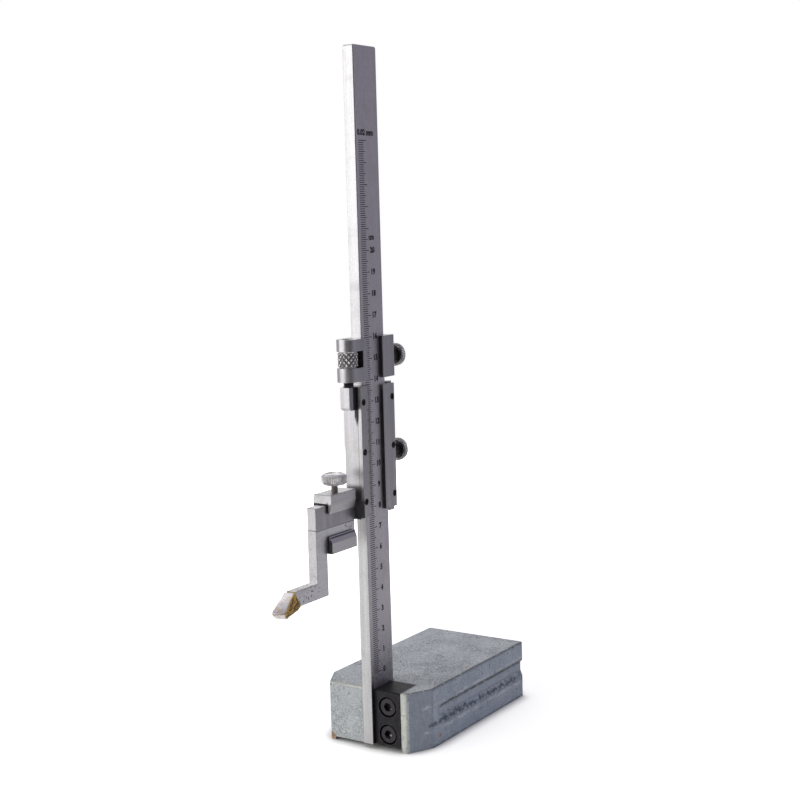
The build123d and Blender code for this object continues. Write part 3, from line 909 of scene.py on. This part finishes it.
@dataclass(frozen=True)
class MarkFill(Finish):
    """Dark filling of the engraved marks, thin in places."""

    colour: Colour = (0.018, 0.017, 0.02)
    thin: Colour = (0.11, 0.108, 0.12)
    wear: Noise = Noise(1.3 * MM, 3, step=(0.45, 0.8))

    def surface(self, graph: Graph) -> dict[str, Value]:
        """Dark wax, worn here and there."""
        worn = self.wear.over(graph)
        return {
            "Base Color": graph.blend(worn, self.colour, self.thin),
            "Roughness": 0.55 + 0.1 * worn,
            "Specular IOR Level": 0.25,
        }


class Finishes:
    """The gauge's finishes."""

    base = HammertonePaint(
        "hammertone_paint",
        rust_spots=(
            ((-0.0321, -0.0287, 0.0045), 0.0015),
            ((-0.0512, 0.0212, 0.0018), 0.0030),
            ((-0.0010, -0.0255, 0.0290), 0.0014),
        ),
        worn_strips=(
            Region((-0.0520, -0.0232, -0.001), (-0.0500, -0.0188, 0.030)),
            Region((-0.0522, -0.0300, 0.0280), (-0.0500, 0.0290, 0.0300)),
        ),
    )
    beam = GroundSteel(
        "beam_steel",
        satin=(0.42, 0.405, 0.43),
        ground=(0.65, 0.645, 0.64),
        roughness=0.42,
        pit_size=0.05,
        # painted shade: the beam darker near its foot, and black on its face beside the clamp block
        soiled_below=0.075,
        oiled=(Region((-0.0532, -0.0045, 0.000), (-0.0512, -0.0035, 0.0320), FORWARDS),),
    )
    slider = GroundSteel(
        "slider_steel",
        satin=(0.29, 0.285, 0.30),
        pit_size=0.03,
        stain_share=0.3,
        # painted shade: faces in shade beside the cover strip, the carriage's lip, the jaw, the rod's seat
        # and inside the window, painted black
        oiled=(
            Region((-0.0395, -0.0058, 0.110), (-0.0380, -0.0030, 0.176), LEFTWARDS),
            Region((-0.0440, -0.0058, 0.176), (-0.0370, -0.0030, 0.200), LEFTWARDS),
            Region((-0.0580, -0.0050, 0.098), (-0.0560, 0.0030, 0.1272), LEFTWARDS, 0.9),
            Region((-0.0578, -0.0072, 0.098), (-0.0572, -0.0030, 0.1225), LEFTWARDS, 0.9),
            Region((-0.0590, -0.0045, 0.1590), (-0.0570, -0.0022, 0.1765)),
            Region((-0.0605, -0.0042, 0.1570), (-0.0570, -0.0030, 0.1760)),
            Region((-0.0552, -0.0070, 0.1825), (-0.0548, 0.0042, 0.1925), LEFTWARDS),
        ),
    )
    clamp = GroundSteel(
        "clamp_steel",
        satin=(0.41, 0.405, 0.42),
        lay=Lay.ALONG_JAW,
        pit_size=0.06,
        # painted shade: faces beside the jaw and the lower bar's top edge painted black
        oiled=(
            Region((-0.0804, -0.0019, 0.1160), (-0.0800, -0.0008, 0.1236), LEFTWARDS),
            Region((-0.0804, -0.0019, 0.1221), (-0.0800, 0.0075, 0.1233), LEFTWARDS),
            Region((-0.0804, -0.0038, 0.0995), (-0.0800, -0.0009, 0.1068), LEFTWARDS, 0.95),
            Region((-0.0810, -0.0038, 0.1072), (-0.0600, -0.0008, 0.1078), None, 0.95),
        ),
    )
    holder = GroundSteel(
        "holder_steel",
        satin=(0.50, 0.495, 0.515),
        lay=Lay.ALONG_JAW,
        pit_size=0.06,
        pitted=(((-0.0965, -0.0011, 0.0840), 0.013), ((-0.0640, -0.0011, 0.1100), 0.004)),
    )
    black = BlackOxide(
        "blackened_steel",
        # painted shade: the block's side beside the beam and its top face painted deeper black
        wells=(
            Region((-0.0520, -0.0058, 0.000), (-0.0505, -0.0030, 0.0280)),
            Region((-0.0600, -0.0400, 0.027), (0.0000, 0.0000, 0.0320), UPWARDS, 0.8),
        ),
    )
    socket_screws = BlackOxide(
        "black_sockets",
        roughness=0.32,
        shine=0.5,
        rub_share=0.5,
        # painted glints in the hex sockets
        bright_spots=(((-0.0487, -0.0120, 0.0193), 0.0008), ((-0.0487, -0.0112, 0.0065), 0.0008)),
    )
    small_screws = BlackOxide(
        "black_heads",
        colour=(0.008, 0.007, 0.011),
        shine=0.1,
        rub_share=0.1,
        # a painted glint on the middle screw's head
        bright_spots=(((-0.0557, -0.0062, 0.1437), 0.0005),),
    )
    rod = BlackOxide("black_rod", roughness=0.3, rub_share=0.4)
    plating = Plating("bright_plating")
    thumb = Plating(
        "worn_plating",
        colour=(0.86, 0.835, 0.825),
        grime=(0.06, 0.045, 0.035),
        roughness=0.3,
        grime_share=0.3,
        rim_share=0.9,
        axis=THUMB_FOOT,
        # painted shade on the shank under the head, and grime with painted shade in the knurl cuts
        hollow=1.7 * MM,
        hollow_share=0.85,
        rolled=6.0 * MM,
        cut_share=0.4,
    )
    slider_knob = Plating(
        "slider_knob_plating",
        colour=(0.80, 0.785, 0.78),
        roughness=0.14,
        axis=SLIDER_KNOB_FOOT,
        lying=True,
        # painted dark reflection: the knob's dish and neck painted black, with grime and painted shade in the
        # knurl cuts
        hollow=3.4 * MM,
        rolled=5.5 * MM,
        cut_share=0.9,
    )
    carriage_knob = replace(slider_knob, name="carriage_knob_plating", axis=CARRIAGE_KNOB_FOOT)
    nut = Plating(
        "nut_plating",
        colour=(0.80, 0.775, 0.765),
        roughness=0.15,
        grime_share=0.7,
        rim_share=0.2,
        axis=NUT_FOOT,
        # grime and painted shade in the knurl cuts
        rolled=4.75 * MM,
        cut_depth=0.40 * MM,
        cut_share=0.9,
    )
    spring = SpringSteel("blued_spring")
    carbide = GroundCarbide("insert_carbide")
    braze = Braze("run_brass")
    marks = MarkFill("mark_fill")


# ---------------------------------------------------------------- making pieces
def dress(finish: Finish, *nodes: str) -> None:
    """Gives carried-over solids their finish.

    Args:
        finish: the finish.
        nodes: the solids' names.
    """
    for name in nodes:
        slots = bpy.data.objects[name].data.materials
        slots.clear()
        slots.append(finish.material())
        LOG.info("dressed %s in %s", name, finish.name)


def add_object(name: str, data: bpy.types.ID, place: Matrix) -> bpy.types.Object:
    """Puts a mesh, a lamp or a camera into the scene.

    Args:
        name: the object's name.
        data: what it shows.
        place: where it stands and how it is turned.

    Returns:
        The object.
    """
    made = bpy.data.objects.new(name, data)
    made.matrix_world = place
    bpy.context.scene.collection.objects.link(made)
    return made


def add_piece(mesh: bpy.types.Mesh, name: str, body: str, finish: Finish) -> bpy.types.Object:
    """Adds a finished piece to the gauge.

    Args:
        mesh: the mesh, with its place in it.
        name: the piece's name.
        body: the body that it rides on.
        finish: its finish.

    Returns:
        The piece.
    """
    mesh.materials.clear()
    mesh.materials.append(finish.material())
    piece = add_object(name, mesh, Matrix())
    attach(piece, body)
    LOG.info("made %s: %d faces, riding on %s", name, len(mesh.polygons), body)
    return piece


def as_mesh(shape: bmesh.types.BMesh, name: str) -> bpy.types.Mesh:
    """Turns a bmesh into a mesh and frees it.

    Args:
        shape: the bmesh.
        name: the mesh's name.

    Returns:
        The mesh.
    """
    mesh = bpy.data.meshes.new(name)
    shape.to_mesh(mesh)
    shape.free()
    return mesh


def slab(shape: bmesh.types.BMesh, place: Matrix, size: Sequence[float]) -> None:
    """Adds a small block.

    Args:
        shape: the mesh that it joins.
        place: its middle and its turn.
        size: its three sizes.
    """
    bmesh.ops.create_cube(shape, size=1.0, matrix=place @ Matrix.Diagonal((*size, 1.0)))


def lettering(text: str, height: float, depth: float, place: Matrix, weight: float) -> bpy.types.Mesh:
    """Plain characters as a thin solid.

    Args:
        text: the characters.
        height: a capital's height.
        depth: how thick they are.
        place: their middle, with +X along the line and +Z out of the face.
        weight: how much bolder their strokes are, as a share of the height.

    Returns:
        The mesh, in place.
    """
    capital_share = 0.73  # of the font's size
    curve = bpy.data.curves.new(text, "FONT")
    curve.body = text
    curve.align_x = "CENTER"
    curve.align_y = "CENTER"
    curve.size = height / capital_share
    curve.offset = height * weight
    curve.extrude = depth / 2
    curve.resolution_u = 2
    holder = bpy.data.objects.new(text, curve)
    mesh = bpy.data.meshes.new_from_object(holder)
    bpy.data.objects.remove(holder)
    bpy.data.curves.remove(curve)
    mesh.transform(place)
    return mesh


# ---------------------------------------------------------------- turned pieces
def saw(phase: float) -> float:
    """1 at whole numbers, straight down to 0 half-way between them."""
    return abs(2 * (phase - math.floor(phase)) - 1)


def bevelled_bar(inner: float, radius: float, length: float, edge: float) -> Outline:
    """Half the outline of a round bar with bevelled ends.

    Args:
        inner: its bore's radius, or 0.
        radius: its radius.
        length: its length.
        edge: the width of each bevel.

    Returns:
        The outline, from one end to the other.
    """
    return (
        (inner, 0.0),
        (radius - edge, 0.0),
        (radius, edge),
        (radius, length - edge),
        (radius - edge, length),
        (inner, length),
    )


@dataclass(frozen=True)
class Cut(ABC):
    """A pattern rolled or cut into a turned band."""

    low: float  # where the band starts along the axis
    high: float
    depth: float

    @abstractmethod
    def level(self, turn: float, along: float) -> float:
        """How much metal stands at a point.

        Args:
            turn: the share of a turn round the axis.
            along: the distance along it.

        Returns:
            1 at the surface, 0 at the bottom of the cut.
        """

    def covers(self, along: float) -> bool:
        """Whether the band reaches a place along the axis."""
        return self.low - NEAR <= along <= self.high + NEAR


@dataclass(frozen=True)
class StraightKnurl(Cut):
    """Grooves along the axis."""

    teeth: int

    def level(self, turn: float, along: float) -> float:
        """A row of ridges round the axis."""
        return saw(turn * self.teeth)


@dataclass(frozen=True)
class DiamondKnurl(Cut):
    """Two sets of slanting grooves that leave diamonds."""

    teeth: int
    pitch: float  # a diamond's length along the axis

    def level(self, turn: float, along: float) -> float:
        """Where neither groove has cut."""
        slant = along / self.pitch
        return min(saw(turn * self.teeth + slant), saw(turn * self.teeth - slant))


@dataclass(frozen=True)
class Thread(Cut):
    """A screw thread."""

    pitch: float

    def level(self, turn: float, along: float) -> float:
        """One ridge that winds up the axis."""
        return saw(along / self.pitch - turn)


@dataclass(frozen=True)
class Turning:
    """A piece turned on a lathe: half its outline, spun round its axis, then cut."""

    node: str
    body: str
    foot: Point  # where the axis starts
    outline: Outline
    cut: Cut
    steps: int  # faces round it
    hollow: bool = False  # a bore goes right through, so the outline is a ring
    row: float = 0.2 * MM  # spacing of the rows in a cut band
    lying: bool = False  # the axis runs along +X in place of +Z
    sharp: float = 28.0  # degrees past which an edge is drawn sharp
    slot: str = "bright_chrome"

    def build(self, finish: Finish) -> None:
        """Makes the piece and stands it in for its solid.

        Args:
            finish: its finish.
        """
        shape = bmesh.new()
        ring = [shape.verts.new((radius, 0.0, along)) for radius, along in self.outline]
        for pair in zip(ring, ring[1:] + ring[:1] if self.hollow else ring[1:]):
            shape.edges.new(pair)
        self.divide(shape)
        bmesh.ops.spin(
            shape,
            geom=shape.verts[:] + shape.edges[:],
            cent=(0, 0, 0),
            axis=(0, 0, 1),
            dvec=(0, 0, 0),
            angle=math.tau,
            steps=self.steps,
            use_merge=True,
            use_duplicate=False,
        )
        bmesh.ops.remove_doubles(shape, verts=shape.verts, dist=NEAR)
        for vert in shape.verts:
            self.carve(vert)
        bmesh.ops.recalc_face_normals(shape, faces=shape.faces)
        lay = Matrix.Rotation(math.pi / 2, 4, "Y") if self.lying else Matrix()
        shape.transform(Matrix.Translation(self.foot) @ lay)
        name = f"{self.node}_turned"
        mesh = as_mesh(shape, name)
        mesh.shade_smooth()
        mesh.set_sharp_from_angle(angle=math.radians(self.sharp))
        piece = add_piece(mesh, name, self.body, finish)
        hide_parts(self.node)

    def divide(self, shape: bmesh.types.BMesh) -> None:
        """Divides the outline into rows where the cut runs along it.

        Args:
            shape: the outline's mesh.
        """
        edges = [edge for edge in shape.edges if all(self.cut.covers(vert.co.z) for vert in edge.verts)]
        count = math.ceil(edges[0].calc_length() / self.row)
        bmesh.ops.subdivide_edges(shape, edges=edges, cuts=count - 1)

    def carve(self, vert: bmesh.types.BMVert) -> None:
        """Moves a point of the cut band in by the depth of the cut there.

        Args:
            vert: the point.
        """
        radius = math.hypot(vert.co.x, vert.co.y)
        widest = max(radius for radius, _ in self.outline)
        if radius >= widest - NEAR and self.cut.covers(vert.co.z):
            turn = math.atan2(vert.co.y, vert.co.x) / math.tau
            share = 1 - self.cut.depth * (1 - self.cut.level(turn, vert.co.z)) / radius
            vert.co.x *= share
            vert.co.y *= share


@dataclass(frozen=True)
class ClampScrew:
    """A clamp screw with a dished, finely knurled head, lying along +X."""

    node: str
    body: str
    foot: Point
    shank: float = 2.0 * MM
    shank_edge: float = 0.3 * MM
    neck: float = 2.9 * MM
    neck_start: float = 5.5 * MM
    rim_start: float = 11.0 * MM
    rim_end: float = 14.5 * MM
    rim: float = 5.5 * MM
    dish: float = 4.85 * MM
    dish_floor: float = 3.3 * MM  # radius of its flat middle
    dish_depth: float = 1.0 * MM
    edge: float = 0.5 * MM
    border: float = 1.4 * MM  # from the rim in to the step on its outer face
    border_step: float = 0.2 * MM
    teeth: int = 43
    steps_per_tooth: int = 4
    knurl_depth: float = 0.25 * MM

    def build(self, finish: Finish) -> None:
        """Turns and knurls it.

        Args:
            finish: its finish.
        """
        floor = self.rim_start + self.dish_depth
        outline = (
            (0.0, 0.0),
            (self.shank - self.shank_edge, 0.0),
            (self.shank, self.shank_edge),
            (self.shank, self.neck_start),
            (self.neck, self.neck_start),
            (self.neck, floor),
            (self.dish_floor, floor),
            (self.dish, self.rim_start),
            (self.rim - self.edge, self.rim_start),
            (self.rim, self.rim_start + self.edge),
            (self.rim, self.rim_end - self.edge),
            (self.rim - self.edge, self.rim_end),
            (self.rim - self.border, self.rim_end),
            (self.rim - self.border - self.border_step, self.rim_end - self.border_step),
            (0.0, self.rim_end - self.border_step),
        )
        band = (self.rim_start + self.edge, self.rim_end - self.edge)
        knurl = StraightKnurl(*band, self.knurl_depth, self.teeth)
        steps = self.teeth * self.steps_per_tooth
        Turning(self.node, self.body, self.foot, outline, knurl, steps, lying=True).build(finish)


@dataclass(frozen=True)
class ThumbScrew:
    """The upright thumb screw: a thick knurled head with a dished top on a thin shank."""

    node: str = "scriber_clamp_screw"
    body: str = "thumb_screw"
    foot: Point = THUMB_FOOT
    shank: float = 1.5 * MM
    shank_edge: float = 0.3 * MM
    head_start: float = 7.95 * MM
    head_end: float = 12.95 * MM
    head: float = 6.0 * MM
    edge: float = 1.1 * MM
    dish: float = 4.3 * MM
    dish_depth: float = 0.35 * MM
    teeth: int = 44
    steps_per_tooth: int = 4
    knurl_depth: float = 0.28 * MM

    def build(self, finish: Finish) -> None:
        """Turns and knurls it.

        Args:
            finish: its finish.
        """
        outline = (
            (0.0, 0.0),
            (self.shank - self.shank_edge, 0.0),
            (self.shank, self.shank_edge),
            (self.shank, self.head_start),
            (self.head - self.edge, self.head_start),
            (self.head, self.head_start + self.edge),
            (self.head, self.head_end - self.edge),
            (self.head - self.edge, self.head_end),
            (self.dish, self.head_end),
            (self.dish - self.dish_depth, self.head_end - self.dish_depth),
            (0.0, self.head_end - self.dish_depth),
        )
        band = (self.head_start + self.edge, self.head_end - self.edge)
        knurl = StraightKnurl(*band, self.knurl_depth, self.teeth)
        steps = self.teeth * self.steps_per_tooth
        Turning(self.node, self.body, self.foot, outline, knurl, steps).build(finish)


@dataclass(frozen=True)
class AdjustingNut:
    """The nut between the carriage's lugs, with a diamond knurl."""

    node: str = "adjusting_nut"
    body: str = "nut"
    foot: Point = NUT_FOOT
    length: float = 7.5 * MM
    bore: float = 2.55 * MM
    radius: float = 4.75 * MM
    edge: float = 0.8 * MM
    teeth: int = 13
    steps_per_tooth: int = 10
    row: float = 0.16 * MM
    diamond: float = 2.6 * MM
    knurl_depth: float = 0.45 * MM

    def build(self, finish: Finish) -> None:
        """Turns, bores and knurls it.

        Args:
            finish: its finish.
        """
        outline = bevelled_bar(self.bore, self.radius, self.length, self.edge)
        band = (self.edge, self.length - self.edge)
        knurl = DiamondKnurl(*band, self.knurl_depth, self.teeth, self.diamond)
        steps = self.teeth * self.steps_per_tooth
        place = (self.node, self.body, self.foot)
        Turning(*place, outline, knurl, steps, hollow=True, row=self.row).build(finish)


@dataclass(frozen=True)
class AdjustingRod:
    """The threaded rod, M5 with 0.8 mm pitch."""

    node: str = "adjusting_rod"
    body: str = "slider"
    foot: Point = ROD_FOOT
    length: float = 30.1 * MM
    radius: float = 2.5 * MM
    edge: float = 0.5 * MM
    pitch: float = 0.8 * MM
    thread_depth: float = 0.45 * MM
    steps: int = 40
    row: float = 0.13 * MM
    slot: str = "black_oxide"

    def build(self, finish: Finish) -> None:
        """Turns it and cuts its thread.

        Args:
            finish: its finish.
        """
        outline = bevelled_bar(0.0, self.radius, self.length, self.edge)
        thread = Thread(self.edge, self.length - self.edge, self.thread_depth, self.pitch)
        place = (self.node, self.body, self.foot)
        Turning(*place, outline, thread, self.steps, row=self.row, slot=self.slot).build(finish)


# ---------------------------------------------------------------- sub-assemblies
@dataclass
class MainScale:
    """The beam's graduations: millimetres, numbered each centimetre."""

    zero_height: float = 36.4 * MM
    length: int = 250  # millimetres
    numbered_to: int = 20  # centimetres
    to_number: int = 10  # millimetres from one long line to the next
    to_half: int = 5
    margin: float = 2.3 * MM  # from the beam's left edge to the lines
    line: float = 3.9 * MM
    half_line: float = 5.0 * MM
    long_line: float = 6.0 * MM
    line_width: float = 0.37 * MM
    number_height: float = 2.6 * MM
    number_weight: float = 0.085
    number_x: float = 11.05 * MM  # from the beam's left edge to the numbers' middle
    unit_x: float = 10.45 * MM
    caption_x: float = 7.9 * MM
    unit_gap: float = 6.0 * MM  # from the last number up to the unit
    caption_gap: float = 3.6 * MM  # from the last line up to the caption
    proud: float = 0.02 * MM
    sunk: float = 0.05 * MM

    def build(self) -> None:
        """Lines, numbers and captions on the beam's face."""
        low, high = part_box("beam")
        thickness = self.proud + self.sunk
        middle = low.y - self.proud + thickness / 2
        face = Matrix.Translation((0, middle, 0)) @ Matrix.Rotation(math.pi / 2, 4, "X")
        shape = bmesh.new()
        for step in range(self.length + 1):
            reach = self.reach(step)
            centre = (low.x + self.margin + reach / 2, middle, self.zero_height + step * MM)
            slab(shape, Matrix.Translation(centre), (reach, thickness, self.line_width))
        texts = [(str(number), self.number_x, number * CM) for number in range(self.numbered_to + 1)]
        texts.append(("cm", self.unit_x, self.numbered_to * CM + self.unit_gap))
        texts.append(("0.02 mm", self.caption_x, self.length * MM + self.caption_gap))
        for text, across, up in texts:
            place = Matrix.Translation((low.x + across, 0, self.zero_height + up)) @ face
            shape.from_mesh(lettering(text, self.number_height, thickness, place, self.number_weight))
        add_piece(as_mesh(shape, "main_scale"), "main_scale", "stand", Finishes.marks)

    def reach(self, step: int) -> float:
        """How long a millimetre's line is."""
        if step % self.to_number == 0:
            return self.long_line
        return self.half_line if step % self.to_half == 0 else self.line


@dataclass
class VernierScale:
    """The vernier's 50 divisions over 49 mm and its digits, on the plate's bevel."""

    datum: float = 36.4 * MM  # the main scale's zero above the datum plane
    divisions: int = 50
    to_number: int = 5  # divisions from one digit to the next
    span: float = 49 * MM
    line: float = 2.3 * MM
    long_line: float = 3.3 * MM
    line_width: float = 0.28 * MM
    bevel_width: float = 4.8 * MM
    edge_thickness: float = 0.3 * MM
    number_height: float = 1.05 * MM
    number_weight: float = 0.06
    number_reach: float = 4.15 * MM  # from the bevel's foot to the digits' middle
    proud: float = 0.02 * MM
    sunk: float = 0.04 * MM

    def build(self) -> None:
        """Lines down the bevel and a digit at each fifth."""
        low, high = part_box("vernier_plate")
        tip_low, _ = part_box("carbide_tip")
        zero = tip_low.z + self.datum
        drop = high.y - low.y - self.edge_thickness
        bevel = Matrix.Rotation(math.atan2(drop, self.bevel_width), 4, "Z")
        face = Matrix.Rotation(math.pi / 2, 4, "X")
        thickness = self.proud + self.sunk
        shape = bmesh.new()
        for step in range(self.divisions + 1):
            foot = Vector((high.x, high.y - self.edge_thickness, zero + step * self.span / self.divisions))
            numbered = step % self.to_number == 0
            reach = self.long_line if numbered else self.line
            inward = bevel @ Vector((-reach / 2, thickness / 2 - self.proud, 0))
            slab(shape, Matrix.Translation(foot + inward) @ bevel, (reach, thickness, self.line_width))
            if numbered:
                inward = bevel @ Vector((-self.number_reach, thickness / 2 - self.proud, 0))
                place = Matrix.Translation(foot + inward) @ bevel @ face
                digit = str(step // self.to_number % 10)
                shape.from_mesh(lettering(digit, self.number_height, thickness, place, self.number_weight))
        add_piece(as_mesh(shape, "vernier_scale"), "vernier_scale", "slider", Finishes.marks)


@dataclass
class Stand:
    """Base, beam and the block that clamps them."""

    def build(self) -> None:
        """Dresses the standing pieces."""
        dress(Finishes.base, "base")
        dress(Finishes.beam, "beam")
        dress(Finishes.black, "beam_clamp_block")
        dress(Finishes.socket_screws, "beam_clamp_screws")
        MainScale().build()


@dataclass
class Slider:
    """Slider, vernier and jaw."""

    def build(self) -> None:
        """Dresses the slider's pieces."""
        dress(Finishes.slider, "slider_frame", "vernier_plate", "slider_cover_strip")
        dress(Finishes.small_screws, "vernier_plate_screws", "cover_strip_screws")
        dress(Finishes.spring, "slider_leaf_spring")
        dress(Finishes.plating, "slider_clamp_screw")
        dress(Finishes.rod, "adjusting_rod")
        ClampScrew("slider_clamp_screw", "slider_screw", SLIDER_KNOB_FOOT).build(Finishes.slider_knob)
        AdjustingRod().build(Finishes.rod)
        VernierScale().build()


@dataclass
class FineAdjustment:
    """Carriage, its clamp screw and the adjusting nut."""

    def build(self) -> None:
        """Dresses the carriage's pieces."""
        dress(Finishes.slider, "carriage_frame")
        dress(Finishes.spring, "carriage_leaf_spring")
        dress(Finishes.plating, "carriage_clamp_screw", "adjusting_nut")
        ClampScrew("carriage_clamp_screw", "carriage_screw", CARRIAGE_KNOB_FOOT).build(Finishes.carriage_knob)
        AdjustingNut().build(Finishes.nut)


@dataclass
class ScriberHolder:
    """Scriber, its carbide insert and the clamp that holds it to the jaw."""

    def build(self) -> None:
        """Dresses the scriber's pieces."""
        dress(Finishes.holder, "scriber")
        dress(Finishes.clamp, "scriber_clamp")
        dress(Finishes.plating, "scriber_clamp_screw")
        ThumbScrew().build(Finishes.thumb)
        dress(Finishes.carbide, "carbide_tip")
        dress(Finishes.braze, "braze_seam")


# ---------------------------------------------------------------- studio
@dataclass(frozen=True)
class Softbox:
    """A rectangular lamp."""

    name: str
    centre: Point
    target: Point  # what it faces
    size: tuple[float, float]
    watts: float
    tint: Colour = WHITE

    def build(self) -> None:
        """Hangs the lamp, facing its target."""
        lamp = bpy.data.lights.new(self.name, "AREA")
        lamp.shape = "RECTANGLE"
        lamp.size, lamp.size_y = self.size
        lamp.energy = self.watts
        lamp.color = self.tint
        aim = Vector(self.target) - Vector(self.centre)
        turn = aim.to_track_quat("-Z", "Y").to_matrix().to_4x4()
        add_object(self.name, lamp, Matrix.Translation(self.centre) @ turn)


@dataclass(frozen=True)
class Camera:
    """The camera's place and aim, in degrees."""

    place: Point = (-0.60910, -0.38988, 0.25095)
    heading: float = 56.687  # from +Y towards +X
    pitch: float = 7.054  # downwards
    roll: float = -1.554
    lens: float = 66.267
    sensor: float = 36.0
    nearest: float = 10 * MM  # what is nearer than this isn't drawn

    def build(self) -> None:
        """Sets it up."""
        heading, pitch, roll = (math.radians(angle) for angle in (self.heading, self.pitch, self.roll))
        data = bpy.data.cameras.new("camera")
        data.lens = self.lens
        data.sensor_width = self.sensor
        data.clip_start = self.nearest
        turn = Matrix.Rotation(-heading, 4, "Z") @ Matrix.Rotation(math.pi / 2 - pitch, 4, "X")
        place = Matrix.Translation(self.place) @ turn @ Matrix.Rotation(roll, 4, "Z")
        bpy.context.scene.camera = add_object("camera", data, place)


@dataclass(frozen=True)
class Studio:
    """A white sweep and a large soft lamp, in a room that is dim beside the camera and dark behind it."""

    floor_radius: float = 0.9
    floor_sides: int = 96
    floor_paint: Colour = (0.80, 0.805, 0.762)
    floor_lift: float = 0.26  # glow that lifts it towards white
    floor_white: float = 0.34  # more of it, for the camera alone
    plain_from: Step = (0.02, 0.09)  # squares of the distances over which it turns to plain white
    contact: float = 10 * MM  # how far the shadow under an edge reaches
    contact_step: Step = (0.45, 0.92)  # share of open sky over which that shadow ends
    contact_samples: int = 8
    backdrop: Point = (0.83, 0.55, 0.0)  # the way the camera looks
    side_step: Step = (-0.95, -0.3)  # from the dark behind the camera to the dim sides
    sweep_step: Step = (0.45, 0.9)  # from the dim sides to the bright backdrop
    dark: float = 0.04
    dim: float = 0.34
    bright: float = 0.60
    dim_tint: Colour = (1.0, 0.95, 1.16)
    lamps: tuple[Softbox, ...] = (
        Softbox("key", (-1.15, 0.60, 0.62), (0.0, 0.0, 0.15), (1.7, 1.3), 11.9),
        Softbox("top", (-0.1, 0.3, 1.5), (0.0, 0.0, 0.0), (0.8, 0.8), 2.8),
        Softbox("fill", (0.35, -1.2, 0.5), (0.0, 0.0, 0.05), (1.0, 0.8), 0.7, (0.86, 0.95, 1.15)),
    )

    def build(self) -> None:
        """Floor, lamps, world and camera."""
        self.floor()
        self.world()
        for lamp in self.lamps:
            lamp.build()
        Camera().build()
        bpy.context.scene.view_settings.view_transform = "Standard"

    def floor(self) -> None:
        """A pale disc that keeps the gauge's shadow and turns to plain white away from it."""
        shape = bmesh.new()
        bmesh.ops.create_circle(shape, cap_ends=True, segments=self.floor_sides, radius=self.floor_radius)
        mesh = as_mesh(shape, "floor")
        material = bpy.data.materials.new("white_sweep")
        material.use_nodes = True
        graph = Graph(material.node_tree)
        across, along, _ = graph.axes()
        far = (across * across + along * along).rise(*self.plain_from)
        seen = graph.node("ShaderNodeLightPath", output="Is Camera Ray")
        mirrored = seen.output("Is Glossy Ray").most(seen.output("Is Transmission Ray"))
        paint = graph.node("ShaderNodeBsdfDiffuse", inputs={"Color": opaque(self.floor_paint)})
        samples = {"samples": self.contact_samples}
        open_sky = graph.node("ShaderNodeAmbientOcclusion", samples, {"Distance": self.contact}, output=1)
        lift = seen.most(mirrored) * self.floor_lift + seen * self.floor_white
        strength = lift * open_sky.rise(*self.contact_step) + seen * far
        glow = graph.node("ShaderNodeEmission", inputs={"Strength": strength})
        both = graph.node("ShaderNodeAddShader", inputs={0: paint, 1: glow})
        graph.node("ShaderNodeOutputMaterial", inputs={"Surface": both})
        mesh.materials.append(material)
        floor = add_object("floor", mesh, Matrix())

    def world(self) -> None:
        """White to the camera, and a room for reflections."""
        scene = bpy.context.scene
        scene.world = scene.world or bpy.data.worlds.new("world")
        scene.world.use_nodes = True
        graph = Graph(scene.world.node_tree)
        seen = graph.node("ShaderNodeLightPath", output="Is Camera Ray")
        way = graph.node("ShaderNodeTexCoord", output="Generated")
        ahead = graph.vector("DOT_PRODUCT", way, self.backdrop, output=1)
        sweep = ahead.rise(*self.sweep_step)
        level = self.dark + (self.dim - self.dark) * ahead.rise(*self.side_step) + self.bright * sweep
        tint = graph.blend(sweep.most(seen), self.dim_tint, WHITE)
        level = level + seen * (1 - level)
        sky = graph.node("ShaderNodeBackground", inputs={"Color": tint, "Strength": level})
        graph.node("ShaderNodeOutputWorld", inputs={"Surface": sky})


def main() -> None:
    """Loads the solids, dresses them and sets the studio."""
    logging.basicConfig(level=logging.INFO, format="%(message)s")
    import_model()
    for assembly in (Stand(), Slider(), FineAdjustment(), ScriberHolder(), Studio()):
        assembly.build()


if __name__ == "__main__":
    main()
